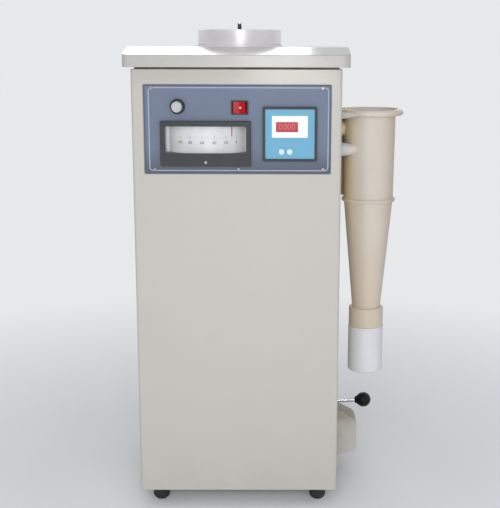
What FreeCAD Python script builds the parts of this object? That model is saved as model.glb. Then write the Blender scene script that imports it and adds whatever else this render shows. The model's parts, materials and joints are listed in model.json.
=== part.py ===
import FreeCAD
import Part
import math
import os

# Air jet sieve: a floor-standing cabinet with a sieve on top, a control panel in front
# and a dust cyclone on its right side. Millimetres, +Z up, +X right, +Y to the back.
# The origin is on the floor under the centre of the cabinet.

V = FreeCAD.Vector

# Driving dimensions
BODY_W = 371.0
BODY_D = 350.0
FOOT_H = 31.0
BODY_TOP = 818.0
SHEET = 2.0
CORNER_R = 5.0
FIT = 0.05
GAP = 0.3

SEAL_H = 4.0
COVER_W = 398.5
COVER_D = 378.0
COVER_BAND = 21.0
COVER_BEVEL_H = 13.0
COVER_BEVEL_W = 9.0
COVER_R = 14.0

PANEL_X0 = -164.0
PANEL_X1 = 166.5
PANEL_Z0 = 635.0
PANEL_Z1 = 792.0
PANEL_T = 1.6
PANEL_CLEAR = 1.0
LEDGE_W = 12.0

GAUGE_X = -55.0
GAUGE_Z = 689.0
GAUGE_W = 160.0
GAUGE_H = 80.0
GAUGE_PROUD = 8.0
GAUGE_WIN_W = 143.0
GAUGE_WIN_Z0 = 672.0
GAUGE_WIN_Z1 = 719.4
GAUGE_CASE_W = 152.0
GAUGE_CASE_H = 72.0
GAUGE_CASE_D = 94.0
DIAL_R = 80.0
POINTER_REST = 33.7

TIMER_X = 93.8
TIMER_Z = 706.0
TIMER_W = 96.0
TIMER_EDGE = 4.5
TIMER_PROUD = 6.5
TIMER_BODY = 90.0
TIMER_BODY_D = 78.0

KNOB_X = -104.0
KNOB_Z = 754.0
KNOB_SKIRT_R = 13.5
KNOB_CAP_R = 9.5

SWITCH_X = 5.2
SWITCH_Z = 752.0
SWITCH_W = 31.0
SWITCH_H = 25.0
SWITCH_TILT = 6.0

SIEVE_R = 78.5
SIEVE_IN_R = 75.0
SIEVE_H = 27.0
BOWL_R = 74.0
BOWL_WALL = 4.0
BOWL_FLOOR_Z = 796.0
BOWL_FLANGE_R = 82.0
BOWL_FLANGE_T = 3.0
SEAT_SEAL_T = 1.5
KNOB_UP = 14.5
KNOB_HEAD_R = 5.2
MESH_UP = 4.0
NOZZLE_GAP = 4.0
NOZZLE_LEN = 66.0
SHAFT_R = 8.0

PIPE_R = 15.0
PIPE_WALL = 2.0
HOSE_WALL = 2.0
HOSE_R = PIPE_R + HOSE_WALL
HOSE_BEND = 40.0
HOSE_LAP = 13.0
HOSE_SHY = 5.5
STUB_IN = 22.0
PORT_END = 97.0

CYC_OUT = 65.0
CYC_R = 49.6
CYC_LOW_R = 48.0
CYC_WALL = 3.0
CYC_TOP = 739.0
CYC_LIP_R = 64.5
CYC_BEAD_R = 6.0
CYC_SEAT_DOWN = 14.0
WEB_Y = 25.0
WEB_T = 4.0
WEB_FOOT = 13.0
BEAD_Z = 564.0
BEAD_R = 52.0
BEAD_H = 7.0
CONE_LOW_Z = 332.0
CONE_LOW_R = 28.0
COLLAR_Z0 = 308.5
COLLAR_Z1 = 347.0
COLLAR_R = 34.0
CUP_Z0 = 216.5
CUP_R = 34.6
INLET_Y = -31.5
INLET_LEN = 45.0
INLET_END_R = 8.0
INLET_Z = 664.0
OUTLET_Y = 4.0
OUTLET_Z = 701.0

CAN_IN = 97.5
CAN_R = 80.0
CAN_Z0 = 186.0
CAN_Z1 = 446.0
SPIGOT_OUT = 27.0
LEVER_ROD_R = 4.0
BALL_R = 15.0
BALL_OUT = 63.5
BALL_Z = 149.0
LEVER_TILT = 2.5
LEVER_SWING = 10.0

DRUM_IN = 100.5
DRUM_R = 78.0
DRUM_Z0 = 33.0
DRUM_Z1 = 211.0
DUCT_W = 44.0
DUCT_Z0 = 62.0
DUCT_Z1 = 110.0
TRANSFER_Z = 306.0

HOOD_W = 56.0
HOOD_OUT = 48.5
HOOD_WALL = 2.5
HOOD_TOP = 140.5
HOOD_KNEE_Z = 119.5
HOOD_LIP_Z = 51.0
HOOD_LOW_Z = 38.5

REAR_EDGE = 14.0
REAR_LAP = 18.0
LOUVRE_R = 5.0
LOUVRE_PITCH = 14.0
SOCKET_IN = 85.5
SOCKET_UP = 82.0
ARM_T = 2.5
ARM_LEN = 38.0

# Derived levels
HX = BODY_W / 2.0
HY = BODY_D / 2.0
FRONT = -HY
COVER_Z0 = BODY_TOP + SEAL_H
COVER_Z1 = COVER_Z0 + COVER_BAND
COVER_TOP = COVER_Z1 + COVER_BEVEL_H
PANEL_BACK = FRONT + SHEET
PANEL_FRONT = PANEL_BACK - PANEL_T
SEAT_TOP = COVER_TOP + BOWL_FLANGE_T
SIEVE_Z0 = SEAT_TOP + SEAT_SEAL_T
SIEVE_TOP = SIEVE_Z0 + SIEVE_H
MESH_Z = SIEVE_Z0 + MESH_UP
NOZZLE_TOP = MESH_Z - NOZZLE_GAP
HOUSING_Z1 = BOWL_FLOOR_Z - BOWL_WALL
HOUSING_Z0 = HOUSING_Z1 - 46.0
PORT_Z = BOWL_FLOOR_Z + PIPE_R + 3.0
COLLAR_IN = COLLAR_R - 2.5
CYC_X = HX + CYC_OUT
CYC_LIP_Z = CYC_TOP - 2 * CYC_BEAD_R
CYC_SEAT_Z = CYC_TOP - CYC_SEAT_DOWN
CAN_X = HX - CAN_IN
SPIGOT_X = CAN_X + SPIGOT_OUT
BALL_X = HX + BALL_OUT
DRUM_X = DRUM_IN - HX
SOCKET_X = HX - SOCKET_IN
SOCKET_Z = FOOT_H + SOCKET_UP
REAR_Z0 = FOOT_H + 27.0
REAR_Z1 = BODY_TOP - 20.0


def box(x0, x1, y0, y1, z0, z1):
    return Part.makeBox(x1 - x0, y1 - y0, z1 - z0, V(x0, y0, z0))


def cyl(x, y, z, r, h):
    return Part.makeCylinder(r, h, V(x, y, z), V(0, 0, 1))


def cyl_x(x, y, z, r, h):
    return Part.makeCylinder(r, h, V(x, y, z), V(1, 0, 0))


def cyl_y(x, y, z, r, h):
    return Part.makeCylinder(r, h, V(x, y, z), V(0, 1, 0))


def ring(x, y, z, r_out, r_in, h):
    return cyl(x, y, z, r_out, h).cut(cyl(x, y, z - 1, r_in, h + 2))


def turned(points, x, y):
    """Solid of revolution about the vertical line through x, y."""
    pts = [V(x + p[0], y, p[1]) for p in points]
    pts.append(pts[0])
    face = Part.Face(Part.makePolygon(pts))
    return face.revolve(V(x, y, 0), V(0, 0, 1), 360)


def turned_edges(edges, x, y):
    """Solid of revolution of a closed outline of lines and arcs in the XZ plane."""
    face = Part.Face(Part.Wire(edges))
    face.translate(V(x, y, 0))
    return face.revolve(V(x, y, 0), V(0, 0, 1), 360)


def turned_y(points, x, z):
    """Solid of revolution about the front-to-back line through x, z."""
    pts = [V(x + p[0], p[1], z) for p in points]
    pts.append(pts[0])
    face = Part.Face(Part.makePolygon(pts))
    return face.revolve(V(x, 0, z), V(0, 1, 0), 360)


def round_edges(shape, r, along):
    edges = []
    for e in shape.Edges:
        if not isinstance(e.Curve, Part.Line):
            continue
        d = e.Vertexes[1].Point - e.Vertexes[0].Point
        d.normalize()
        if abs(abs(d.dot(along)) - 1.0) < 1e-6:
            edges.append(e)
    return shape.makeFillet(r, edges)


def plan_box(w, d, z0, z1, r):
    """Box centred on the axis with rounded vertical corners."""
    b = box(-w / 2, w / 2, -d / 2, d / 2, z0, z1)
    return round_edges(b, r, V(0, 0, 1))


def face_box(cx, cz, w, h, y0, y1, r):
    """Plate facing the front with rounded corners."""
    b = box(cx - w / 2, cx + w / 2, y0, y1, cz - h / 2, cz + h / 2)
    if r > 0:
        b = round_edges(b, r, V(0, 1, 0))
    return b


def sweep(edges, r, normal):
    wire = Part.Wire(edges)
    start = edges[0].Vertexes[0].Point
    circle = Part.Wire([Part.makeCircle(r, start, normal)])
    return wire.makePipeShell([circle], True, False)


def tube(edges, r_out, r_in, normal):
    return sweep(edges, r_out, normal).cut(sweep(edges, r_in, normal))


def line(a, b):
    return Part.LineSegment(a, b).toShape()


def arc(a, m, b):
    return Part.Arc(a, m, b).toShape()


def bend(c, r, a0, a1, y):
    """Arc in the plane of constant y about c (x, z), angles in degrees."""
    pts = []
    for a in (a0, (a0 + a1) / 2.0, a1):
        t = math.radians(a)
        pts.append(V(c[0] + r * math.cos(t), y, c[1] + r * math.sin(t)))
    return arc(pts[0], pts[1], pts[2])


def pan_screw(p, out, head_r, head_h, shank_r, length):
    """Cross-slotted pan screw: p is under the head, out points away from the work."""
    shank = Part.makeCylinder(shank_r, length, p, out * -1.0)
    head = Part.makeCylinder(head_r, head_h, p, out)
    rim = [e for e in head.Edges if e.Curve.TypeId == "Part::GeomCircle"]
    top = [e for e in rim if (e.CenterOfMass - p).dot(out) > head_h / 2]
    head = head.makeFillet(head_h * 0.45, top)
    tip = p + out * head_h
    s = head_r * 0.62
    cut_a = Part.makeBox(2 * s, 0.7, 0.7, V(-s, -0.35, -0.7))
    cut_b = Part.makeBox(0.7, 2 * s, 0.7, V(-0.35, -s, -0.7))
    cross = cut_a.fuse(cut_b)
    rot = FreeCAD.Rotation(V(0, 0, 1), out)
    cross.Placement = FreeCAD.Placement(tip, rot)
    return shank.fuse(head).cut(cross)


# Cabinet

def base_tray():
    inner_x = HX - SHEET
    inner_y = HY - SHEET
    plate = box(-inner_x, inner_x, -inner_y, inner_y, FOOT_H, FOOT_H + SHEET)
    rim = box(-inner_x, inner_x, -inner_y, inner_y, FOOT_H, FOOT_H + 14)
    rim = rim.cut(box(-inner_x + 1.5, inner_x - 1.5, -inner_y + 1.5, inner_y - 1.5,
                      FOOT_H - 1, FOOT_H + 15))
    tray = plate.fuse(rim)
    tray = tray.common(plan_box(BODY_W - 2 * SHEET, BODY_D - 2 * SHEET, 0, 100,
                                CORNER_R - SHEET))
    for x, y in foot_places():
        tray = tray.cut(cyl(x, y, FOOT_H - 1, 4.0, 10))
    return tray


def foot_places():
    return [(sx * (HX - 35), sy * (HY - 35)) for sx in (-1, 1) for sy in (-1, 1)]


def rubber_feet():
    feet = []
    for x, y in foot_places():
        dome = arc(V(8, 0, 0), V(13.4, 0, 4.2), V(15, 0, 14))
        e = [line(V(6.5, 0, 0), V(8, 0, 0)), dome, line(V(15, 0, 14), V(14.2, 0, FOOT_H)),
             line(V(14.2, 0, FOOT_H), V(4, 0, FOOT_H)), line(V(4, 0, FOOT_H), V(4, 0, 7)),
             line(V(4, 0, 7), V(6.5, 0, 7)), line(V(6.5, 0, 7), V(6.5, 0, 0))]
        feet.append(turned_edges(e, x, y))
    return Part.makeCompound(feet)


def foot_screws():
    screws = []
    for x, y in foot_places():
        head = cyl(x, y, 3.5, 6.0, 3.5)
        shank = cyl(x, y, 7, 3.0, FOOT_H + SHEET)
        nut = cyl(x, y, FOOT_H + SHEET, 5.5, 4.5)
        screws.append(head.fuse(shank).fuse(nut))
    return Part.makeCompound(screws)


def slot_box(x0, x1, y, w, z0, z1):
    return box(x0, x1, y - w / 2, y + w / 2, z0, z1)


def cabinet_shell():
    outer = plan_box(BODY_W, BODY_D, FOOT_H, BODY_TOP, CORNER_R)
    inner = plan_box(BODY_W - 2 * SHEET, BODY_D - 2 * SHEET, FOOT_H - 1,
                     BODY_TOP - SHEET, CORNER_R - SHEET)
    shell = outer.cut(inner)
    # open top with a flange all round
    shell = shell.cut(box(-HX + 24, HX - 24, -HY + 24, HY - 24, BODY_TOP - 5, BODY_TOP + 1))
    # front opening and the ledge behind it
    c = PANEL_CLEAR
    shell = shell.cut(box(PANEL_X0 - c, PANEL_X1 + c, FRONT - 1, FRONT + 5,
                          PANEL_Z0 - c, PANEL_Z1 + c))
    ledge = box(PANEL_X0 - 9, PANEL_X1 + 9, PANEL_BACK, PANEL_BACK + 1.5,
                PANEL_Z0 - 9, PANEL_Z1 + 9)
    ledge = ledge.cut(box(PANEL_X0 + LEDGE_W, PANEL_X1 - LEDGE_W, FRONT, FRONT + 9,
                          PANEL_Z0 + LEDGE_W, PANEL_Z1 - LEDGE_W))
    shell = shell.fuse(ledge)
    for x, z in panel_screw_places():
        shell = shell.cut(cyl_y(x, FRONT, z, 1.6, 9))
    # rear opening
    inset = REAR_EDGE + REAR_LAP
    shell = shell.cut(box(-HX + inset, HX - inset, HY - 5, HY + 1, REAR_Z0 + REAR_LAP,
                          REAR_Z1 - REAR_LAP))
    for x, z in rear_screw_places():
        shell = shell.cut(cyl_y(x, HY - 5, z, 2.1, 9))
    # right wall: cyclone pipes, lever slot, exhaust
    x0 = HX - SHEET - 1
    shell = shell.cut(cyl_x(x0, INLET_Y, INLET_Z, PIPE_R + 2.5, 9))
    shell = shell.cut(cyl_x(x0, OUTLET_Y, OUTLET_Z, PIPE_R + 2.5, 9))
    for y, z in bracket_screw_places() + hood_screw_places():
        shell = shell.cut(cyl_x(x0, y, z, 2.1, 9))
    reach = HX - CAN_X
    half = reach * math.tan(math.radians(LEVER_SWING)) + LEVER_ROD_R + 3.0
    zl = lever_z(HX)
    shell = shell.cut(slot_box(x0, HX + 3, 0, 2 * half, zl - LEVER_ROD_R - 1.0,
                               zl + LEVER_ROD_R + 1.3))
    shell = shell.cut(slot_box(x0, HX + 3, 0, DUCT_W - 4, DUCT_Z0 + 2, DUCT_Z1 - 2))
    return shell


def lever_z(x):
    return BALL_Z - (BALL_X - x) * math.tan(math.radians(LEVER_TILT))


def rear_screw_places():
    x = HX - REAR_EDGE - REAR_LAP / 2
    z0 = REAR_Z0 + REAR_LAP / 2
    step = (REAR_Z1 - REAR_Z0 - REAR_LAP) / 3
    return [(s * x, z0 + i * step) for s in (-1, 1) for i in range(4)]


def louvre_places():
    """Centre, lower edge and width of each louvre: a high group and a low one."""
    rows = [(x, REAR_Z1 - 200 + i * LOUVRE_PITCH, 50.0) for x in (-70, 0, 70) for i in range(7)]
    rows += [(DRUM_X + 35, REAR_Z0 + 98 + i * LOUVRE_PITCH, 90.0) for i in range(5)]
    return rows


def louvre_hood(x, z, w):
    """Quarter-round hood pressed out of the panel, open below."""
    y = HY + 1.5
    t = 1.2
    outer = cyl_x(x - w / 2, y, z, LOUVRE_R, w)
    inner = cyl_x(x - w / 2 + t, y, z, LOUVRE_R - t, w - 2 * t)
    return outer.common(box(x - w / 2, x + w / 2, y, y + 9, z, z + 9)).cut(inner)


def rear_panel():
    plate = box(-HX + REAR_EDGE, HX - REAR_EDGE, HY, HY + 1.5, REAR_Z0, REAR_Z1)
    for x, z in rear_screw_places():
        plate = plate.cut(cyl_y(x, HY - 1, z, 2.1, 5))
    slots = []
    hoods = []
    for x, z, w in louvre_places():
        half = w / 2 - 1.2
        slots.append(box(x - half, x + half, HY - 1, HY + 3, z, z + LOUVRE_R - 1.2))
        hoods.append(louvre_hood(x, z, w))
    plate = plate.cut(Part.makeCompound(slots))
    plate = plate.cut(face_box(SOCKET_X, SOCKET_Z, 28, 22, HY - 1, HY + 3, 0))
    return plate.fuse(hoods).removeSplitter()


def power_inlet():
    x = SOCKET_X
    z = SOCKET_Z
    body = face_box(x, z, 27.4, 21.4, HY - 22, HY + 1.5, 0)
    inlet = body.fuse(face_box(x, z, 50, 30, HY + 1.5, HY + 4.5, 4))
    inlet = inlet.cut(face_box(x, z, 24, 16, HY - 14, HY + 6, 2))
    for dx in (-7, 0, 7):
        dz = 2.5 if dx == 0 else -1.5
        inlet = inlet.fuse(face_box(x + dx, z + dz, 2, 4, HY - 14.5, HY - 1, 0))
    return inlet


def case_screws():
    out = []
    for x, z in rear_screw_places():
        out.append(pan_screw(V(x, HY + 1.5, z), V(0, 1, 0), 4.0, 2.4, 2.0, 7))
    for y, z in bracket_screw_places():
        out.append(pan_screw(V(HX + 2.5, y, z), V(1, 0, 0), 4.0, 2.4, 2.0, 8))
    for y, z in hood_screw_places():
        out.append(pan_screw(V(HX - SHEET, y, z), V(-1, 0, 0), 4.0, 2.4, 2.0, 8))
    return Part.makeCompound(out)


# Top cover

def cover_gasket():
    out = plan_box(BODY_W - 12, BODY_D - 12, BODY_TOP, COVER_Z0, 6)
    return out.cut(plan_box(BODY_W - 36, BODY_D - 36, BODY_TOP - 1, COVER_Z0 + 1, 3))


def bevel_block(w, d, r, top):
    """Band with a bevelled top, made as a tapered cap on a straight band."""
    band = plan_box(w, d, COVER_Z0, COVER_Z1, r)
    low = plan_wire(w, d, COVER_Z1, r)
    high = plan_wire(w - 2 * COVER_BEVEL_W, d - 2 * COVER_BEVEL_W, top, r - 3)
    cap = Part.makeLoft([low, high], True, True)
    return band.fuse(cap).removeSplitter()


def plan_wire(w, d, z, r):
    hw = w / 2
    hd = d / 2
    k = r * (1 - math.sqrt(0.5))
    p = [V(hw - r, -hd, z), V(hw, -hd + r, z), V(hw, hd - r, z), V(hw - r, hd, z),
         V(-hw + r, hd, z), V(-hw, hd - r, z), V(-hw, -hd + r, z), V(-hw + r, -hd, z)]
    m = [V(hw - k, -hd + k, z), V(hw - k, hd - k, z), V(-hw + k, hd - k, z),
         V(-hw + k, -hd + k, z)]
    edges = [arc(p[0], m[0], p[1]), line(p[1], p[2]), arc(p[2], m[1], p[3]),
             line(p[3], p[4]), arc(p[4], m[2], p[5]), line(p[5], p[6]),
             arc(p[6], m[3], p[7]), line(p[7], p[0])]
    return Part.Wire(edges)


def top_cover():
    t = 3.0
    outer = bevel_block(COVER_W, COVER_D, COVER_R, COVER_TOP)
    inner = bevel_block(COVER_W - 2 * t, COVER_D - 2 * t, COVER_R - t, COVER_TOP - t)
    inner = inner.cut(box(-300, 300, -300, 300, 0, COVER_Z0 + 2.5))
    cover = outer.cut(inner)
    cover = cover.cut(plan_box(BODY_W - 36, BODY_D - 36, COVER_Z0 - 1, COVER_Z0 + 4, 3))
    return cover.cut(cyl(0, 0, COVER_TOP - 10, BOWL_R + 1.0, 20))


# Sieve and seat

def seat_bowl():
    ri = BOWL_R - BOWL_WALL
    zb = BOWL_FLOOR_Z - BOWL_WALL
    pts = [(BOWL_R, zb), (BOWL_R, COVER_TOP), (BOWL_FLANGE_R, COVER_TOP),
           (BOWL_FLANGE_R, SEAT_TOP), (ri, SEAT_TOP), (ri, BOWL_FLOOR_Z),
           (SHAFT_R + FIT + 4.5, BOWL_FLOOR_Z), (SHAFT_R + FIT + 4.5, BOWL_FLOOR_Z + 8),
           (SHAFT_R + FIT, BOWL_FLOOR_Z + 8), (SHAFT_R + FIT, zb)]
    bowl = turned(pts, 0, 0)
    port = cyl_x(55, INLET_Y, PORT_Z, PIPE_R, PORT_END - 55)
    bowl = bowl.fuse(port.cut(cyl(0, 0, zb, ri, 200)))
    bowl = bowl.cut(cyl_x(40, INLET_Y, PORT_Z, PIPE_R - PIPE_WALL, PORT_END - 30))
    nipple = cyl(-50, -30, zb - 14, 3.0, 15)
    bowl = bowl.fuse(nipple).fuse(air_housing())
    return bowl.cut(cyl(-50, -30, zb - 16, 1.6, 30))


def seat_gasket():
    return ring(0, 0, SEAT_TOP, SIEVE_R - 0.5, BOWL_R - 2.0, SEAT_SEAL_T)


def sieve_frame():
    pts = [(SIEVE_IN_R, SIEVE_Z0), (SIEVE_R, SIEVE_Z0), (SIEVE_R, SIEVE_TOP - 0.8),
           (SIEVE_R - 0.8, SIEVE_TOP), (SIEVE_R - 2.4, SIEVE_TOP),
           (SIEVE_R - 2.4, SIEVE_TOP - 8), (SIEVE_IN_R - 2, SIEVE_TOP - 8),
           (SIEVE_IN_R - 2, SIEVE_TOP - 10), (SIEVE_IN_R, SIEVE_TOP - 12),
           (SIEVE_IN_R, MESH_Z + 2.6), (SIEVE_IN_R - 1.5, MESH_Z + 2.6),
           (SIEVE_IN_R - 1.5, MESH_Z + 0.6), (SIEVE_IN_R, MESH_Z + 0.6)]
    return turned(pts, 0, 0)


def sieve_mesh():
    return cyl(0, 0, MESH_Z, SIEVE_IN_R, 0.6)


def sieve_lid():
    r = SIEVE_R - 2.4 - 0.4
    z = SIEVE_TOP - 8
    pts = [(0, z), (r, z), (r, z + 4.5), (r - 1, z + 5.5), (0, z + 5.5)]
    return turned(pts, 0, 0).cut(cyl(0, 0, z - 1, 2.5, 10))


def lid_knob():
    z = SIEVE_TOP - 8
    top = z + 8 + KNOB_UP
    low = top - 4.6
    rise = 2.4
    dome_r = (KNOB_HEAD_R ** 2 + rise ** 2) / (2 * rise)
    half = math.asin(KNOB_HEAD_R / dome_r) / 2
    mid = V(dome_r * math.sin(half), 0, top - dome_r * (1 - math.cos(half)))
    cap = arc(V(KNOB_HEAD_R, 0, top - rise), mid, V(0, 0, top))
    pts = [(0, z - 2), (5, z - 2), (5, z), (2.5, z), (2.5, z + 5.5), (6.5, z + 5.5),
           (6.5, z + 7), (3.7, z + 8.2), (3.7, low), (KNOB_HEAD_R, low + 0.6),
           (KNOB_HEAD_R, top - rise)]
    v = [V(r, 0, h) for r, h in pts]
    e = [line(v[i], v[i + 1]) for i in range(len(v) - 1)]
    return turned_edges(e + [cap, line(V(0, 0, top), v[0])], 0, 0)


def nozzle_arm():
    z1 = NOZZLE_TOP
    z0 = z1 - 9
    arm = box(0, NOZZLE_LEN, -6, 6, z0, z1)
    arm = round_edges(arm, 2.0, V(1, 0, 0))
    tail = box(-24, 0, -5, 5, z0, z1)
    hub = cyl(0, 0, z0 - 12, 15, z1 - z0 + 12)
    arm = arm.fuse(tail).fuse(hub)
    arm = arm.cut(box(0, NOZZLE_LEN - 3, -4, 4, z0 + 2, z1 - 2))
    arm = arm.cut(box(16, NOZZLE_LEN - 5, -0.8, 0.8, z1 - 4, z1 + 1))
    arm = arm.cut(cyl(0, 0, z0 - 13, SHAFT_R, 13))
    return arm.cut(cyl(0, 0, z0 - 2, SHAFT_R - 2, 9))


def nozzle_shaft():
    z1 = NOZZLE_TOP - 9
    z0 = HOUSING_Z0 + 6
    shaft = cyl(0, 0, z0, SHAFT_R, z1 - z0)
    shaft = shaft.cut(cyl(0, 0, z0 + 8, SHAFT_R - 2, z1 - z0))
    shaft = shaft.fuse(cyl(0, 0, HOUSING_Z0 - 8, 4.0, 14))
    for a in (0, 90):
        w = box(-20, 20, -2.5, 2.5, z0 + 12, z0 + 26)
        w.rotate(V(0, 0, 0), V(0, 0, 1), a)
        shaft = shaft.cut(w)
    return shaft


def air_housing():
    """Windowed neck cast under the bowl, where the nozzle draws its air."""
    z0 = HOUSING_Z0
    z1 = HOUSING_Z1
    pts = [(26, z0), (26, z1), (SHAFT_R + FIT, z1), (SHAFT_R + FIT, z1 - 5), (22, z1 - 5),
           (22, z0)]
    body = turned(pts, 0, 0)
    flange = ring(0, 0, z0, 32, 22, 3)
    body = body.fuse(flange)
    for a in (45, 135):
        w = box(-40, 40, -9, 9, z0 + 12, z0 + 30)
        w.rotate(V(0, 0, 0), V(0, 0, 1), a)
        body = body.cut(w)
    return body


def nozzle_motor():
    z1 = HOUSING_Z0
    z0 = z1 - 52
    motor = cyl(0, 0, z0, 30, 52)
    rims = [e for e in motor.Edges if e.Curve.TypeId == "Part::GeomCircle"]
    motor = motor.makeFillet(2.0, rims)
    motor = motor.fuse(ring(0, 0, z0 + 24, 31.5, 29, 2.5))
    motor = motor.fuse(box(-12, 12, 28, 38, z0 + 8, z0 + 20))
    return motor.cut(cyl(0, 0, z1 - 10, 4.0 + FIT, 12))


# Control panel

def panel_screw_places():
    zt = PANEL_Z1 - 6
    zb = PANEL_Z0 + 8
    return [(-150, zt), (151, zt), (-146, zb), (2.5, zb), (153, zb)]


def control_panel():
    cx = (PANEL_X0 + PANEL_X1) / 2
    cz = (PANEL_Z0 + PANEL_Z1) / 2
    p = face_box(cx, cz, PANEL_X1 - PANEL_X0, PANEL_Z1 - PANEL_Z0, PANEL_FRONT,
                 PANEL_BACK, 2.5)
    p = p.cut(face_box(GAUGE_X, GAUGE_Z, GAUGE_CASE_W + 0.6, GAUGE_CASE_H + 0.6,
                       FRONT - 5, FRONT + 5, 0))
    p = p.cut(face_box(TIMER_X, TIMER_Z, TIMER_BODY + 0.6, TIMER_BODY + 0.6,
                       FRONT - 5, FRONT + 5, 0))
    p = p.cut(face_box(SWITCH_X, SWITCH_Z, 28.2, 23.2, FRONT - 5, FRONT + 5, 0))
    p = p.cut(cyl_y(KNOB_X, FRONT - 5, KNOB_Z, 4.0, 10))
    for x, z in panel_screw_places():
        p = p.cut(cyl_y(x, FRONT - 5, z, 1.6, 10))
    return p


def panel_screws():
    out = []
    for x, z in panel_screw_places():
        out.append(pan_screw(V(x, PANEL_FRONT, z), V(0, -1, 0), 3.0, 1.8, 1.5, 7))
    return Part.makeCompound(out)


def gauge_bezel():
    y0 = PANEL_FRONT - GAUGE_PROUD
    b = face_box(GAUGE_X, GAUGE_Z, GAUGE_W, GAUGE_H, y0, PANEL_FRONT, 3)
    front = [e for e in b.Edges if e.CenterOfMass.y < y0 + 0.01]
    b = b.makeFillet(1.2, front)
    wz = (GAUGE_WIN_Z0 + GAUGE_WIN_Z1) / 2
    wh = GAUGE_WIN_Z1 - GAUGE_WIN_Z0
    b = b.cut(face_box(GAUGE_X, wz, GAUGE_WIN_W, wh, y0 - 1, FRONT + 5, 3.5))
    b = b.cut(face_box(GAUGE_X, wz, GAUGE_WIN_W + 4, wh + 4, y0 + 3.5, FRONT + 5, 3.5))
    return b.cut(cyl_y(GAUGE_X, y0 - 1, GAUGE_WIN_Z0 - 16, 2.6, 12))


def gauge_glass():
    y0 = PANEL_FRONT - GAUGE_PROUD + 3.5
    wz = (GAUGE_WIN_Z0 + GAUGE_WIN_Z1) / 2
    wh = GAUGE_WIN_Z1 - GAUGE_WIN_Z0
    return face_box(GAUGE_X, wz, GAUGE_WIN_W + 4, wh + 4, y0, y0 + 1.5, 3.5)


def gauge_case():
    y0 = PANEL_FRONT
    y1 = y0 + GAUGE_CASE_D
    c = face_box(GAUGE_X, GAUGE_Z, GAUGE_CASE_W, GAUGE_CASE_H, y0, y1, 0)
    c = c.cut(face_box(GAUGE_X, GAUGE_Z, GAUGE_CASE_W - 4, GAUGE_CASE_H - 4, y0 - 1,
                       y1 - 2, 0))
    nip = cyl_y(-50, y1, GAUGE_Z + 7, 3.0, 13)
    c = c.fuse(nip)
    return c.cut(cyl_y(-50, y1 - 3, GAUGE_Z + 7, 1.6, 20))


def gauge_axis_y():
    return PANEL_FRONT + 2.6 + DIAL_R + 2.0


def gauge_dial():
    ya = gauge_axis_y()
    z0 = GAUGE_WIN_Z0 - 2
    z1 = GAUGE_WIN_Z1 - 1
    full = ring(GAUGE_X, ya, z0, DIAL_R, DIAL_R - 1.0, z1 - z0)
    half = DIAL_R * math.sin(math.radians(60))
    yc = ya - DIAL_R * math.cos(math.radians(60))
    dial = full.common(box(GAUGE_X - half, GAUGE_X + half, ya - DIAL_R - 1, yc, z0, z1))
    side = GAUGE_CASE_W / 2 - 2
    for s in (-1, 1):
        xa = GAUGE_X + s * (half - 2.0)
        xb = GAUGE_X + s * side
        dial = dial.fuse(box(min(xa, xb), max(xa, xb), yc - 1, yc, z0, z1))
    return dial


def gauge_pointer():
    ya = gauge_axis_y()
    zt = GAUGE_WIN_Z1 + 0.8
    arm = box(-1.0, 1.0, -DIAL_R - 2.2, 6, zt, zt + 0.8)
    blade = box(-0.7, 0.7, -DIAL_R - 2.2, -DIAL_R - 1.4, zt - 20, zt + 0.4)
    hub = cyl(0, 0, zt - 2.5, 3.0, 3.5)
    pin = cyl(0, 0, zt - 38, 1.0, 38)
    p = arm.fuse(blade).fuse(hub).fuse(pin)
    p.rotate(V(0, 0, 0), V(0, 0, 1), POINTER_REST)
    p.translate(V(GAUGE_X, ya, 0))
    return p


def gauge_capsule():
    """Pressure capsule on its bracket, with the pointer pivot block."""
    ya = gauge_axis_y()
    zf = GAUGE_Z - GAUGE_CASE_H / 2 + 2
    foot = box(GAUGE_X - 22, GAUGE_X + 22, ya - 40, ya + 5, zf, zf + 2)
    stem = cyl(GAUGE_X, ya - 22, zf, 4, 6)
    disc = cyl(GAUGE_X, ya - 22, zf + 5, 26, 3)
    disc2 = cyl(GAUGE_X, ya - 22, zf + 8, 24, 3)
    block = box(GAUGE_X - 4, GAUGE_X + 4, ya - 4, ya + 4, zf + 8, zf + 28)
    block = block.cut(cyl(GAUGE_X, ya, zf + 20, 1.0 + FIT, 20))
    return foot.fuse(stem).fuse(disc).fuse(disc2).fuse(block)


def gauge_zero_screw():
    y0 = PANEL_FRONT - GAUGE_PROUD
    z = GAUGE_WIN_Z0 - 16
    s = cyl_y(GAUGE_X, y0 - 0.8, z, 2.5, 6)
    return s.cut(box(GAUGE_X - 3, GAUGE_X + 3, y0 - 1, y0, z - 0.4, z + 0.4))


def timer_housing():
    y0 = PANEL_FRONT - TIMER_PROUD
    b = face_box(TIMER_X, TIMER_Z, TIMER_W, TIMER_W, y0, PANEL_FRONT, 3)
    front = [e for e in b.Edges if e.CenterOfMass.y < y0 + 0.01]
    b = b.makeFillet(1.0, front)
    body = face_box(TIMER_X, TIMER_Z, TIMER_BODY, TIMER_BODY, PANEL_FRONT,
                    PANEL_FRONT + TIMER_BODY_D, 0)
    b = b.fuse(body)
    w = TIMER_W - 2 * TIMER_EDGE
    b = b.cut(face_box(TIMER_X, TIMER_Z, w, w, y0 - 1, y0 + 3.0, 2))
    b = b.cut(face_box(TIMER_X, TIMER_Z, w - 6, w - 6, y0, PANEL_FRONT + TIMER_BODY_D - 3, 0))
    return b


def timer_button_places():
    return [(TIMER_X - 14.8, TIMER_Z - 31.0), (TIMER_X - 0.4, TIMER_Z - 31.0)]


def display_frame_box(y0, y1, grow):
    return face_box(TIMER_X - 0.3, TIMER_Z + 13.0, 63 + 2 * grow, 38 + 2 * grow, y0, y1, 1.5)


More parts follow.
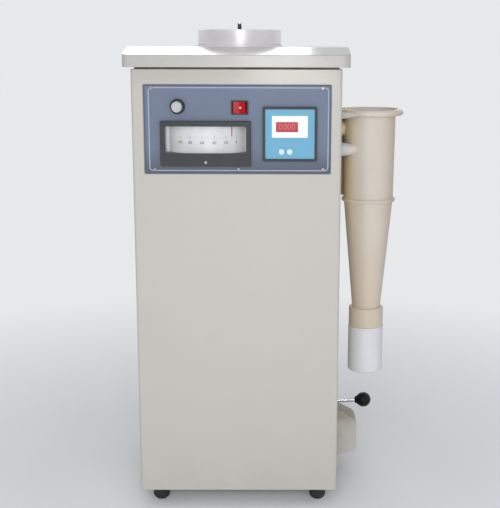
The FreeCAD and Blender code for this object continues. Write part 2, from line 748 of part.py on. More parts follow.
def timer_face():
    y0 = PANEL_FRONT - TIMER_PROUD + 1.5
    w = TIMER_W - 2 * TIMER_EDGE
    f = face_box(TIMER_X, TIMER_Z, w, w, y0, y0 + 1.5, 2)
    f = f.cut(display_frame_box(y0 - 1, y0 + 3, 0))
    for x, z in timer_button_places():
        f = f.cut(cyl_y(x, y0 - 1, z, 5.3, 4))
    return f


def timer_display():
    y0 = PANEL_FRONT - TIMER_PROUD + 1.5
    d = display_frame_box(y0 - 0.4, y0 + 1.5, 0)
    back = display_frame_box(y0 + 1.5, y0 + 6, 2)
    d = d.fuse(back)
    return d.cut(face_box(TIMER_X - 5.3, TIMER_Z + 12.5, 39, 18, y0 - 2, y0 + 2.0, 0))


def timer_window():
    y0 = PANEL_FRONT - TIMER_PROUD + 1.5
    return face_box(TIMER_X - 5.3, TIMER_Z + 12.5, 39, 18, y0 - 0.2, y0 + 2.0, 0)


def timer_button(i):
    x, z = timer_button_places()[i]
    y0 = PANEL_FRONT - TIMER_PROUD
    cap = cyl_y(x, y0 + 0.2, z, 5.0, 6)
    return cap.fuse(cyl_y(x, y0 + 6.2, z, 2.2, 4))


def knob_skirt():
    y = PANEL_FRONT - 0.8
    pts = [(9.5, y), (KNOB_SKIRT_R, y), (KNOB_SKIRT_R, y - 2), (KNOB_SKIRT_R - 2, y - 3.5),
           (KNOB_CAP_R + 1.2, y - 9), (3.0, y - 9), (3.0, y - 4), (9.5, y - 4)]
    return turned_y(pts, KNOB_X, KNOB_Z)


def knob_cap():
    """Knob insert moulded on the steel spindle."""
    y = PANEL_FRONT - 9.8
    pts = [(0, y), (KNOB_CAP_R, y), (KNOB_CAP_R, y - 10), (KNOB_CAP_R - 1, y - 11),
           (0, y - 11)]
    cap = turned_y(pts, KNOB_X, KNOB_Z)
    cap = cap.fuse(cyl_y(KNOB_X, y - 1, KNOB_Z, 3.0, PANEL_FRONT + 9 - y))
    return cap.cut(box(KNOB_X - 0.6, KNOB_X + 0.6, y - 12, y - 10, KNOB_Z + 2, KNOB_Z + 12))


def knob_potentiometer():
    y0 = PANEL_BACK
    body = cyl_y(KNOB_X, y0, KNOB_Z, 12, 16)
    neck = cyl_y(KNOB_X, PANEL_FRONT - 3.5, KNOB_Z, 4.0, 8)
    nut = cyl_y(KNOB_X, PANEL_FRONT - 2.5, KNOB_Z, 6.5, 2.5)
    tags = box(KNOB_X - 8, KNOB_X + 8, y0 + 2, y0 + 4, KNOB_Z - 18, KNOB_Z - 10)
    p = body.fuse(neck).fuse(nut).fuse(tags)
    return p.cut(cyl_y(KNOB_X, PANEL_FRONT - 9, KNOB_Z, 3.0 + FIT, 18))


def switch_housing():
    y0 = PANEL_FRONT - 2.2
    b = face_box(SWITCH_X, SWITCH_Z, SWITCH_W, SWITCH_H, y0, PANEL_FRONT, 1.5)
    b = b.fuse(face_box(SWITCH_X, SWITCH_Z, 28, 23, PANEL_FRONT, PANEL_FRONT + 20, 0))
    b = b.cut(face_box(SWITCH_X, SWITCH_Z, 25.6, 20.6, y0 - 1, PANEL_FRONT + 14, 0))
    for dx in (-8, 0, 8):
        b = b.fuse(box(SWITCH_X + dx - 0.4, SWITCH_X + dx + 0.4, PANEL_FRONT + 20,
                       PANEL_FRONT + 30, SWITCH_Z - 3, SWITCH_Z + 3))
    for s in (-1, 1):
        zc = SWITCH_Z + s * 11.0
        pin = cyl(SWITCH_X, PANEL_FRONT + 2.8, zc - 2.2, 1.2, 4.4)
        b = b.fuse(pin)
    return b


def switch_rocker():
    yp = PANEL_FRONT + 2.8
    pts = [(-10.6, -6.4), (0, -4.4), (10.6, -6.4), (12.3, 0), (8.5, 4), (-8.5, 4),
           (-12.3, 0)]
    poly = [V(p[0], p[1], -9.9) for p in pts]
    poly.append(poly[0])
    r = Part.Face(Part.makePolygon(poly)).extrude(V(0, 0, 19.8))
    r = r.cut(cyl(0, 0, -12, 1.2 + FIT, 24))
    r.rotate(V(0, 0, 0), V(0, 0, 1), -SWITCH_TILT)
    r.translate(V(SWITCH_X, yp, SWITCH_Z))
    return r


# Cyclone

def barrel_solid():
    """Filled barrel: slight taper, then a flat step out to the rolled rim."""
    z0 = BEAD_Z + BEAD_H / 2
    rim = CYC_LIP_R - CYC_BEAD_R
    zm = CYC_TOP - CYC_BEAD_R
    v = [V(0, 0, z0), V(CYC_LOW_R, 0, z0), V(CYC_R, 0, CYC_LIP_Z), V(rim, 0, CYC_LIP_Z)]
    e = [line(v[i], v[i + 1]) for i in range(3)]
    e.append(arc(v[3], V(CYC_LIP_R, 0, zm), V(rim, 0, CYC_TOP)))
    e.append(line(V(rim, 0, CYC_TOP), V(0, 0, CYC_TOP)))
    e.append(line(V(0, 0, CYC_TOP), v[0]))
    return turned_edges(e, CYC_X, 0)


def cyclone_barrel():
    """Barrel with a dished top, a lid seat and a tangential inlet that narrows."""
    z0 = BEAD_Z + BEAD_H / 2
    w = CYC_WALL
    seat = CYC_SEAT_Z
    inner = [(0, z0 - 1), (CYC_LOW_R - w, z0 - 1), (CYC_R - w, seat - 5),
             (CYC_R - w - 4, seat - 5), (CYC_R - w - 4, seat - 2),
             (CYC_R - w + 1.5, seat - 2), (CYC_R - w + 1.5, seat + 1),
             (CYC_R + 1, CYC_TOP - 8), (CYC_R + 6.5, CYC_TOP - 3), (CYC_R + 9, CYC_TOP + 1),
             (0, CYC_TOP + 1)]
    x0 = HX - STUB_IN
    stub = cyl_x(x0, INLET_Y, INLET_Z, PIPE_R, STUB_IN + GAP)
    bore = cyl_x(x0 - 1, INLET_Y, INLET_Z, PIPE_R - PIPE_WALL, STUB_IN + 1 + 2 * GAP)
    body = barrel_solid().fuse([stub, inlet_cone(0)] + barrel_web())
    body = body.cut(bore.fuse(inlet_cone(PIPE_WALL)))
    body = body.cut(turned(inner, CYC_X, 0))
    return body.cut(cyl_x(HX - 5, OUTLET_Y, OUTLET_Z, PIPE_R, 60))


def barrel_web():
    """Upright web behind the pipes that steadies the barrel on the wall, with its foot."""
    z0 = BEAD_Z + BEAD_H / 2
    z1 = CYC_LIP_Z - ARM_T - GAP
    reach = math.sqrt(CYC_LOW_R ** 2 - (WEB_Y + WEB_T) ** 2) - CYC_WALL / 2
    web = box(HX, CYC_X - reach, WEB_Y, WEB_Y + WEB_T, z0, z1)
    return [web, box(HX, HX + CYC_WALL, WEB_Y, WEB_Y + WEB_FOOT, z0, z1)]


def inlet_cone(thin):
    """Inlet that narrows from the wall into the barrel, less a wall thickness."""
    p = V(HX + GAP, INLET_Y, INLET_Z)
    return Part.makeCone(PIPE_R - thin, INLET_END_R - thin, INLET_LEN, p, V(1, 0, 0))


def cyclone_cone():
    z0 = CONE_LOW_Z
    zb0 = BEAD_Z - BEAD_H / 2
    zb1 = BEAD_Z + BEAD_H / 2
    w = CYC_WALL
    top_r = CYC_LOW_R - 0.6
    knee = COLLAR_Z1 + 2
    pts = [(CONE_LOW_R, z0), (CONE_LOW_R, knee), (top_r, zb0), (BEAD_R - 1.5, zb0),
           (BEAD_R, zb0 + 1.8), (BEAD_R, zb1 - 1.8), (BEAD_R - 1.5, zb1),
           (CYC_LOW_R - w, zb1), (CYC_LOW_R - w, zb0 - 2), (CONE_LOW_R - w, knee),
           (CONE_LOW_R - w, z0)]
    return turned(pts, CYC_X, 0)


def cyclone_collar():
    pts = [(COLLAR_IN, COLLAR_Z0), (COLLAR_R, COLLAR_Z0), (COLLAR_R, COLLAR_Z1 - 1.5),
           (COLLAR_R - 1.5, COLLAR_Z1), (CONE_LOW_R, COLLAR_Z1), (CONE_LOW_R, CONE_LOW_Z),
           (COLLAR_IN, CONE_LOW_Z)]
    return turned(pts, CYC_X, 0)


def dust_cup():
    ro = COLLAR_IN - FIT
    ztop = CONE_LOW_Z - 4
    zs = COLLAR_Z0 - 0.3
    pts = [(0, CUP_Z0), (CUP_R - 1.5, CUP_Z0), (CUP_R, CUP_Z0 + 1.5), (CUP_R, zs), (ro, zs),
           (ro, ztop), (ro - 1.8, ztop), (ro - 1.8, zs - 3), (CUP_R - 2, zs - 5),
           (CUP_R - 2, CUP_Z0 + 2), (0, CUP_Z0 + 2)]
    return turned(pts, CYC_X, 0)


def cyclone_lid():
    z = CYC_SEAT_Z - 2
    r = CYC_R - CYC_WALL + 1.5 - 0.3
    lid = cyl(CYC_X, 0, z, r, 3.0)
    boss = cyl(CYC_X, 0, z + 3.0, 10, 3.0)
    return lid.fuse(boss)


def vortex_pipe():
    z1 = CYC_SEAT_Z - 2
    z0 = BEAD_Z + 46.0
    x0 = HX - STUB_IN
    t = cyl(CYC_X, 0, z0, PIPE_R + 3, z1 - z0)
    b = cyl_x(x0, OUTLET_Y, OUTLET_Z, PIPE_R, CYC_X - x0)
    t = t.fuse(b)
    t = t.cut(cyl(CYC_X, 0, z0 - 1, PIPE_R + 1, z1 - z0 - 1))
    return t.cut(cyl_x(x0 - 1, OUTLET_Y, OUTLET_Z, PIPE_R - PIPE_WALL, CYC_X - x0 + 1))


def bracket_screw_places():
    return [(s * 52.0, CYC_LIP_Z - d) for s in (-1, 1) for d in (9.0, 23.0)]


def cyclone_bracket():
    """Wall plate with a yoke under the rim and a tapered arm on each side."""
    x0 = HX
    ya = CYC_LIP_R - 3.0
    yb = ya + ARM_T
    br = box(x0, x0 + ARM_T, -yb, yb, CYC_LIP_Z - 30, CYC_LIP_Z)
    br = br.cut(box(x0 - 1, x0 + 5, -40, 40, CYC_LIP_Z - 31, CYC_LIP_Z - ARM_T))
    yoke = box(x0, x0 + 8, -ya, ya, CYC_LIP_Z - ARM_T, CYC_LIP_Z)
    tongue = box(x0, x0 + 24, -46, 46, CYC_LIP_Z - ARM_T, CYC_LIP_Z)
    arms = []
    for y0 in (-yb, ya):
        low = CYC_LIP_Z - 4.0
        prof = [V(x0, y0, low), V(x0 + ARM_LEN, y0, low + 6.5), V(x0 + ARM_LEN, y0, CYC_TOP - 8),
                V(x0 + ARM_LEN * 0.6, y0, CYC_TOP - 3), V(x0, y0, CYC_TOP - 2)]
        prof.append(prof[0])
        arms.append(Part.Face(Part.makePolygon(prof)).extrude(V(0, ARM_T, 0)))
    br = br.fuse([yoke, tongue] + arms)
    br = br.cut(barrel_solid())
    for y, z in bracket_screw_places():
        br = br.cut(cyl_x(x0 - 1, y, z, 2.1, 8))
    return br.removeSplitter()


def pipe_grommets():
    out = []
    for y, z in ((INLET_Y, INLET_Z), (OUTLET_Y, OUTLET_Z)):
        g = cyl_x(HX - SHEET - 2.5, y, z, PIPE_R + 2.5, SHEET + 5)
        g = g.fuse(cyl_x(HX, y, z, PIPE_R + 5, 2.5))
        g = g.fuse(cyl_x(HX - SHEET - 2.5, y, z, PIPE_R + 5, 2.5))
        g = g.cut(cyl_x(HX - 20, y, z, PIPE_R, 40))
        out.append(g)
    return Part.makeCompound(out)


# Air path inside the cabinet

def suction_hose():
    y = INLET_Y
    xs = PORT_END - HOSE_LAP
    xe = HX - HOSE_SHY
    x1 = PORT_END + 1.0
    x2 = HX - STUB_IN - 1.5
    r = (x2 - x1) / 2
    xm = x1 + r
    e = [line(V(xs, y, PORT_Z), V(x1, y, PORT_Z)),
         bend((x1, PORT_Z - r), r, 90, 0, y),
         line(V(xm, y, PORT_Z - r), V(xm, y, INLET_Z + r)),
         bend((x2, INLET_Z + r), r, 180, 270, y),
         line(V(x2, y, INLET_Z), V(xe, y, INLET_Z))]
    return tube(e, HOSE_R, PIPE_R + FIT, V(1, 0, 0))


def pressure_tube():
    x = -50.0
    zn = GAUGE_Z + 7
    y1 = PANEL_FRONT + GAUGE_CASE_D
    top = HOUSING_Z1 - 2
    r = 20.0
    c = V(x, -30 - r, zn + r)
    k = r * math.sqrt(0.5)
    e = [line(V(x, -30, top), V(x, -30, zn + r)),
         arc(V(x, -30, zn + r), V(x, c.y + k, c.z - k), V(x, -30 - r, zn)),
         line(V(x, -30 - r, zn), V(x, y1 + 2, zn))]
    return tube(e, 5.0, 3.0, V(0, 0, 1))


def outlet_hose():
    y = OUTLET_Y
    xe = HX - HOSE_SHY
    r = HOSE_BEND + 5
    xc = SPIGOT_X + r
    e = [line(V(xe, y, OUTLET_Z), V(xc, y, OUTLET_Z)),
         bend((xc, OUTLET_Z - r), r, 90, 180, y),
         line(V(SPIGOT_X, y, OUTLET_Z - r), V(SPIGOT_X, y, CAN_Z1 + 14))]
    return tube(e, HOSE_R, PIPE_R + FIT, V(1, 0, 0))


def bag_canister():
    """Steel filter canister on four welded legs, with its outlet spigot."""
    w = 2.0
    z0 = CAN_Z0
    c = ring(CAN_X, 0, z0, CAN_R, CAN_R - w, CAN_Z1 - z0)
    c = c.fuse(cyl(CAN_X, 0, z0, CAN_R, 3))
    c = c.fuse(ring(CAN_X, 0, CAN_Z1 - 3, CAN_R + 6, CAN_R - w, 3))
    for a in (45, 135, 225, 315):
        x = CAN_X + 69 * math.cos(math.radians(a))
        y = 69 * math.sin(math.radians(a))
        c = c.fuse(cyl(x, y, FOOT_H + SHEET, 6, z0 - FOOT_H - SHEET))
    c = c.fuse(cyl_x(CAN_X - CAN_R - 18, 0, TRANSFER_Z, PIPE_R, 24))
    c = c.cut(cyl_x(CAN_X - CAN_R - 20, 0, TRANSFER_Z, PIPE_R - PIPE_WALL, 30))
    return c.cut(cyl(CAN_X, 0, z0 - 1, 8 + FIT, 9))


def canister_lid():
    lid = cyl(CAN_X, 0, CAN_Z1, CAN_R + 6, 3)
    lid = lid.fuse(cyl(SPIGOT_X, OUTLET_Y, CAN_Z1, PIPE_R, 34))
    lid = lid.fuse(cyl(CAN_X - 45, 0, CAN_Z1 + 3, 6, 12))
    return lid.cut(cyl(SPIGOT_X, OUTLET_Y, CAN_Z1 - 1, PIPE_R - PIPE_WALL, 40))


def filter_bag():
    z0 = CAN_Z0 + 22
    z1 = CAN_Z1 - 0.0
    pts = [(11, z0), (66, z0), (70, z0 + 5), (70, z1 - 8), (CAN_R - 2.0, z1 - 8),
           (CAN_R - 2.0, z1), (68.5, z1), (68.5, z0 + 6), (65, z0 + 1.5), (11, z0 + 1.5)]
    return turned(pts, CAN_X, 0)


def shaker_spindle():
    """Upright spindle with the lever hub below and a beater frame in the bag."""
    z0 = lever_z(CAN_X) - 11
    z1 = CAN_Z1 - 30
    s = cyl(CAN_X, 0, z0, 8, z1 - z0)
    s = s.fuse(cyl(CAN_X, 0, z0, 15, 22))
    s = s.fuse(cyl(CAN_X, 0, CAN_Z0 + 3.3, 13, 8))
    for z in (CAN_Z0 + 45, z1 - 20):
        s = s.fuse(box(CAN_X - 4, CAN_X + 4, -55, 55, z, z + 6))
    for y in (-52, 52):
        s = s.fuse(cyl(CAN_X, y, CAN_Z0 + 45, 4, z1 - 20 - CAN_Z0 - 45 + 6))
    rod = lever_axis(CAN_X + 2, BALL_X, LEVER_ROD_R)
    return s.cut(rod)


def lever_axis(xa, xb, r):
    t = math.radians(LEVER_TILT)
    d = V(math.cos(t), 0, math.sin(t))
    length = (xb - xa) / math.cos(t)
    return Part.makeCylinder(r, length, V(xa, 0, lever_z(xa)), d)


def lever_rod():
    return lever_axis(CAN_X + 2, BALL_X - 6, LEVER_ROD_R)


def lever_ball():
    ball = Part.makeSphere(BALL_R, V(BALL_X, 0, BALL_Z))
    t = math.radians(LEVER_TILT)
    neck = Part.makeCone(5.5, 11.0, 9.0, V(BALL_X - 18, 0, lever_z(BALL_X - 18)),
                         V(math.cos(t), 0, math.sin(t)))
    return ball.fuse(neck).cut(lever_axis(CAN_X + 2, BALL_X - 6, LEVER_ROD_R))


def transfer_hose():
    r = 45.0
    xe = CAN_X - CAN_R - 3
    e = [line(V(xe, 0, TRANSFER_Z), V(DRUM_X + r, 0, TRANSFER_Z)),
         bend((DRUM_X + r, TRANSFER_Z - r), r, 90, 180, 0),
         line(V(DRUM_X, 0, TRANSFER_Z - r), V(DRUM_X, 0, DRUM_Z1 + 8))]
    return tube(e, HOSE_R, PIPE_R + FIT, V(1, 0, 0))


def blower_drum():
    """Blower drum with its inlet spigot and the duct that leads to the right wall."""
    w = 2.0
    d = cyl(DRUM_X, 0, DRUM_Z0, DRUM_R, DRUM_Z1 - DRUM_Z0)
    d = d.fuse(cyl(DRUM_X, 0, DRUM_Z1, PIPE_R, 26))
    duct = box(DRUM_X + 60, HX - SHEET, -DUCT_W / 2, DUCT_W / 2, DUCT_Z0, DUCT_Z1)
    d = d.fuse(duct)
    d = d.fuse(box(HX - SHEET - 1.5, HX - SHEET, -DUCT_W / 2 - 6, DUCT_W / 2 + 6,
                   DUCT_Z0 - 6, DUCT_Z1 + 6))
    d = d.cut(cyl(DRUM_X, 0, DRUM_Z0 + 2, DRUM_R - w, DRUM_Z1 - DRUM_Z0 - 4))
    d = d.cut(box(DRUM_X + 55, HX + 1, -DUCT_W / 2 + w, DUCT_W / 2 - w, DUCT_Z0 + w,
                  DUCT_Z1 - w))
    d = d.cut(cyl(DRUM_X, 0, DRUM_Z1 - 5, PIPE_R - PIPE_WALL, 40))
    return d.removeSplitter()


def blower_motor():
    """Motor with its mounting plate across the drum."""
    z0 = DRUM_Z0 + 2
    m = cyl(DRUM_X, 0, z0, 40, 100)
    plate = cyl(DRUM_X, 0, z0 + 100, DRUM_R - 2.0, 3)
    for a in range(0, 360, 60):
        x = DRUM_X + 58 * math.cos(math.radians(a))
        y = 58 * math.sin(math.radians(a))
        plate = plate.cut(cyl(x, y, z0 + 90, 10, 30))
    m = m.fuse(plate).fuse(cyl(DRUM_X, 0, z0 + 103, 12, 4))
    return m.cut(cyl(DRUM_X, 0, z0 + 80, 4 + FIT, 60))


def fan_wheel():
    z0 = DRUM_Z0 + 2 + 103 + 8
    d = cyl(DRUM_X, 0, z0, 62, 2)
    top = ring(DRUM_X, 0, z0 + 26, 62, 26, 1.5)
    hub = cyl(DRUM_X, 0, z0 - 25, 4, 26)
    hub = hub.fuse(cyl(DRUM_X, 0, z0, 10, 14))
    w = d.fuse(top).fuse(hub)
    for i in range(9):
        b = fan_blade(z0 + 1, 26)
        b.rotate(V(0, 0, 0), V(0, 0, 1), i * 40)
        b.translate(V(DRUM_X, 0, 0))
        w = w.fuse(b)
    return w


def fan_blade(z, h):
    """Curved blade from the eye to the rim, leaning back against the turn."""
    r = 45.0
    arc_wall = ring(24, r, z, r + 0.75, r - 0.75, h)
    blade = arc_wall.common(box(23, 70, -1.5, 24, z, z + h))
    return blade.common(cyl(0, 0, z, 61.9, h))


def hood_screw_places():
    return [(s * 22.0, z) for s in (-1, 1) for z in (DUCT_Z0 - 11, DUCT_Z1 + 15)]


def hood_block(grow):
    """Side outline of the hood, pulled across its width."""
    x0 = HX
    x1 = HX + HOOD_OUT + grow
    g = grow
    pts = [V(x0, 0, HOOD_TOP + g * 1.2), V(x1 - 8, 0, HOOD_KNEE_Z + g),
           V(x1 - 2.2, 0, HOOD_KNEE_Z - 5.5), V(x1, 0, HOOD_KNEE_Z - 12),
           V(x1, 0, HOOD_LIP_Z - g), V(x0, 0, HOOD_LOW_Z - g)]
    pts.append(pts[0])
    w = HOOD_W + 2 * grow
    f = Part.Face(Part.makePolygon(pts))
    b = f.extrude(V(0, w, 0))
    b.translate(V(0, -w / 2, 0))
    return b


def exhaust_hood():
    outer = hood_block(0)
    inner = hood_block(-HOOD_WALL)
    inner = inner.fuse(box(HX - 1, HX + 0.5, -HOOD_W / 2 + HOOD_WALL, HOOD_W / 2 - HOOD_WALL,
                           HOOD_LOW_Z + 4, HOOD_TOP - 5))
    edges = []
    for e in outer.Edges:
        c = e.CenterOfMass
        if c.x > HX + 3 and abs(abs(c.y) - HOOD_W / 2) < 0.1:
            edges.append(e)
    outer = outer.makeFillet(2.0, edges)
    hood = outer.cut(inner)
    for y, z in hood_screw_places():
        boss = cyl_x(HX, y, z, 4.5, 14)
        hood = hood.fuse(boss.common(hood_block(0)))
    for y, z in hood_screw_places():
        hood = hood.cut(cyl_x(HX - 1, y, z, 2.0, 8))
    return hood.cut(box(HX + 12, HX + 36, -17, 17, HOOD_LOW_Z - 5, HOOD_LIP_Z + 3))


def nodes():
    return {
        "base_tray": base_tray, "rubber_feet": rubber_feet, "foot_screws": foot_screws,
        "cabinet_shell": cabinet_shell, "rear_panel": rear_panel,
        "power_inlet": power_inlet, "case_screws": case_screws,
        "cover_gasket": cover_gasket, "top_cover": top_cover, "seat_bowl": seat_bowl,
        "seat_gasket": seat_gasket, "sieve_frame": sieve_frame, "sieve_mesh": sieve_mesh,
        "sieve_lid": sieve_lid, "lid_knob": lid_knob, "nozzle_arm": nozzle_arm,
        "nozzle_shaft": nozzle_shaft, "nozzle_motor": nozzle_motor,
        "control_panel": control_panel,
        "panel_screws": panel_screws, "gauge_bezel": gauge_bezel,
        "gauge_glass": gauge_glass, "gauge_case": gauge_case, "gauge_dial": gauge_dial,
        "gauge_pointer": gauge_pointer, "gauge_capsule": gauge_capsule,
        "gauge_zero_screw": gauge_zero_screw, "timer_housing": timer_housing,
        "timer_face": timer_face, "timer_display": timer_display,
        "timer_window": timer_window, "timer_button_left": lambda: timer_button(0),
        "timer_button_right": lambda: timer_button(1), "knob_skirt": knob_skirt,
        "knob_cap": knob_cap,
        "knob_potentiometer": knob_potentiometer, "switch_housing": switch_housing,
        "switch_rocker": switch_rocker, "cyclone_barrel": cyclone_barrel,
        "cyclone_cone": cyclone_cone, "cyclone_collar": cyclone_collar,
        "dust_cup": dust_cup, "cyclone_lid": cyclone_lid, "vortex_pipe": vortex_pipe,
        "cyclone_bracket": cyclone_bracket, "pipe_grommets": pipe_grommets,
        "suction_hose": suction_hose, "pressure_tube": pressure_tube,
        "outlet_hose": outlet_hose, "bag_canister": bag_canister,
        "canister_lid": canister_lid, "filter_bag": filter_bag,
        "shaker_spindle": shaker_spindle, "lever_rod": lever_rod,
        "lever_ball": lever_ball, "transfer_hose": transfer_hose,
        "blower_drum": blower_drum, "blower_motor": blower_motor, "fan_wheel": fan_wheel,
        "exhaust_hood": exhaust_hood,
    }


os.makedirs("parts", exist_ok=True)
for name, make in nodes().items():
    make().exportStep("parts/" + name + ".step")
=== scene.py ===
import json
import math

import bpy
from mathutils import Matrix, Vector

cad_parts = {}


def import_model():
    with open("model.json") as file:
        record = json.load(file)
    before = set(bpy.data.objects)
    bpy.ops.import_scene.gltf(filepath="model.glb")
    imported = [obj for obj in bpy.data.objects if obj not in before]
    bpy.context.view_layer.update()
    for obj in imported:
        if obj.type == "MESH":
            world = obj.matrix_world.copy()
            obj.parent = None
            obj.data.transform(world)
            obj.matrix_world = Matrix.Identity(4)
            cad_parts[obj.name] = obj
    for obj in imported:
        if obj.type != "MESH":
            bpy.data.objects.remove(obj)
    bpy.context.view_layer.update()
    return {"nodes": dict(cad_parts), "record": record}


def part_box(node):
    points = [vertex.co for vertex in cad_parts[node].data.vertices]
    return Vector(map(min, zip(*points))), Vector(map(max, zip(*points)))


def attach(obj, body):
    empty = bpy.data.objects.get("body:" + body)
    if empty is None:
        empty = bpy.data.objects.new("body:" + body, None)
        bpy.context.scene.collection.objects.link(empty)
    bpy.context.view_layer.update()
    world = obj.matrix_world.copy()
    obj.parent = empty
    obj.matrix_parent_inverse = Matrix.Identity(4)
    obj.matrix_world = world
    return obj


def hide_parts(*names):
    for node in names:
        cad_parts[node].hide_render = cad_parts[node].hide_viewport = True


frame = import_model()
nodes = frame["nodes"]

MM = 0.001
panel_lo, panel_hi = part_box("control_panel")
dial_lo, dial_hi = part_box("gauge_dial")
knob_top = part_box("lid_knob")[1].z
cone_lo, cone_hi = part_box("cyclone_cone")
barrel_lo, barrel_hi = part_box("cyclone_barrel")
INLET_Z = barrel_hi.z - 75 * MM
INLET_HALF = 16 * MM
hood_lo, hood_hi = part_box("exhaust_hood")
cover_lo, cover_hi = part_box("top_cover")
SLOPE_Z = cover_lo.z + 21 * MM
SLOPE_DEPTH = 75 * MM
COVER_CORNER = 14 * MM
COVER_LIP = 32 * MM
COVER_SHEET = 2.5 * MM
COVER_EDGE = 1.4 * MM
COVER_SMOOTH = math.radians(8.5)
BOWL_HOLE_R = 75 * MM
CORNER_STEPS = 14
PANEL_Y = panel_lo.y
BORDER_LEFT = 8.2 * MM
BORDER_LOW = 5 * MM
BORDER_RIGHT = 4 * MM
BORDER_TOP = 4.5 * MM
BORDER_CORNER = 7 * MM
BORDER_WIDTH = 1.8 * MM
PRINT_DEPTH = 0.05 * MM
LINE_THICK = 0.1 * MM
DIAL_R = 80 * MM
DIAL_FULL = -36.3
DIAL_STEP = 3.9
DIAL_MARKS = 21
MARKS_PER_NUMBER = 4
DIGIT_HEIGHT = 15 * MM
NUMBER_HEIGHT = 7.5 * MM
LAMP_R = 1.6 * MM
DIAL_X = (dial_lo.x + dial_hi.x) / 2
DIAL_Z = (dial_lo.z + dial_hi.z) / 2
PALE = (0.80, 0.81, 0.83, 1)
EVEN_LIGHT = (0.42, 0.43, 0.45, 1)
MESH_WIRES_PER_M = 1250.0
WARP_PER_M = 700.0
RIBS_PER_M = 180.0


# Shader helpers

class Sock:
    """A node's output with arithmetic on it."""

    def __init__(self, mat, out):
        self.mat = mat
        self.out = out

    def _op(self, op, a, b):
        return self.mat.add("ShaderNodeMath", {"operation": op}, a, b)

    def __add__(self, o):
        return self._op("ADD", self, o)

    def __sub__(self, o):
        return self._op("SUBTRACT", self, o)

    def __mul__(self, o):
        return self._op("MULTIPLY", self, o)

    def __gt__(self, o):
        return self._op("GREATER_THAN", self, o)

    def __lt__(self, o):
        return self._op("LESS_THAN", self, o)

    def __abs__(self):
        return self._op("ABSOLUTE", self, 0.0)

    def __mod__(self, o):
        return self._op("FLOORED_MODULO", self, o)


class Finish:
    """One material: a Principled shader and the nodes that drive it."""

    def __init__(self, name, metallic=0.0, **fixed):
        self.m = bpy.data.materials.new(name)
        self.m.use_nodes = True
        self.tree = self.m.node_tree
        self.bsdf = self.tree.nodes["Principled BSDF"]
        self.bsdf.inputs["Metallic"].default_value = metallic
        for key, value in fixed.items():
            self.bsdf.inputs[key.replace("_", " ")].default_value = value
        coord = self.tree.nodes.new("ShaderNodeTexCoord")
        self.pos = Sock(self, coord.outputs["Object"])

    def add(self, kind, settings, *values, out=0, **named):
        n = self.tree.nodes.new(kind)
        for key, value in settings.items():
            setattr(n, key, value)
        for i, v in enumerate(values):
            self.feed(n.inputs[i], v)
        for key, v in named.items():
            self.feed(n.inputs[key.replace("_", " ")], v)
        return Sock(self, n.outputs[out])

    def feed(self, socket, v):
        if isinstance(v, Sock):
            self.tree.links.new(v.out, socket)
        else:
            socket.default_value = v

    def at(self, scale):
        """The place on the object, stretched along each axis."""
        return self.add("ShaderNodeMapping", {}, self.pos, (0, 0, 0), (0, 0, 0), scale)

    def noise(self, scale, detail=3.0, rough=0.5, where=None):
        return self.add("ShaderNodeTexNoise", {}, Vector=where or self.pos, Scale=scale,
                        Detail=detail, Roughness=rough)

    def axis(self, i):
        return self.add("ShaderNodeSeparateXYZ", {}, self.pos, out=i)

    def most(self, a, b):
        return self.add("ShaderNodeMath", {"operation": "MAXIMUM"}, a, b)

    def fit(self, v, lo, hi, a=0.0, b=1.0):
        return self.add("ShaderNodeMapRange", {"clamp": True}, v, lo, hi, a, b)

    def mix(self, f, a, b):
        n = self.tree.nodes.new("ShaderNodeMix")
        n.data_type = "RGBA"
        self.feed(n.inputs["Factor"], f)
        ins = [s for s in n.inputs if s.type == "RGBA"]
        self.feed(ins[0], a)
        self.feed(ins[1], b)
        return Sock(self, [s for s in n.outputs if s.type == "RGBA"][0])

    def bump(self, height, strength, distance):
        n = self.add("ShaderNodeBump", {}, Height=height, Strength=strength, Distance=distance)
        self.tree.links.new(n.out, self.bsdf.inputs["Normal"])

    def color(self, v):
        self.feed(self.bsdf.inputs["Base Color"], v)

    def rough(self, v):
        self.feed(self.bsdf.inputs["Roughness"], v)


def rgb(r, g, b, k=1.0):
    """A display colour, 0 to 255, as the shader's own value."""
    out = []
    for c in (r, g, b):
        c = c / 255.0
        out.append(k * (c / 12.92 if c <= 0.04045 else ((c + 0.055) / 1.055) ** 2.4))
    return (*out, 1.0)


def shade(c, k):
    return (c[0] * k, c[1] * k, c[2] * k, 1.0)


def ridges(p):
    """Triangle wave from 0 to 1, once for each unit of p."""
    return abs((p % 1.0) - 0.5) * 2.0


# Finishes

def paint(name, base, gloss=0.3):
    """Crinkled oven paint: fine orange peel, painted shade as a darker strip above the panel, grime
    low down.
    """
    f = Finish(name, Coat_Weight=gloss, Coat_Roughness=0.14)
    cloud = f.noise(2.5, 2.0)
    speck = f.noise(900.0, 2.0)
    col = f.mix(f.fit(cloud, 0.35, 0.7), base, shade(base, 0.96))
    col = f.mix(f.fit(speck, 0.62, 0.72, 0.0, 0.3), col, shade(base, 0.88))
    # painted shade: the body's strip above the panel made darker
    strip_painted_shade = f.fit(f.axis(2), panel_hi.z - 10 * MM, panel_hi.z + 14 * MM, 0.0, 0.9)
    col = f.mix(strip_painted_shade, col, shade(base, 0.88))
    grime = f.fit(f.axis(2), 0.03, 0.12, 0.22, 0.0) * f.fit(f.noise(30.0, 3.0), 0.35, 0.65)
    f.color(f.mix(grime, col, shade(base, 0.74)))
    f.rough(f.fit(f.noise(60.0, 3.0), 0.3, 0.7, 0.38, 0.48))
    peel = f.noise(420.0, 2.0, 0.4)
    f.bump(peel + speck * 0.35, 0.35, 0.0004)
    return f.m


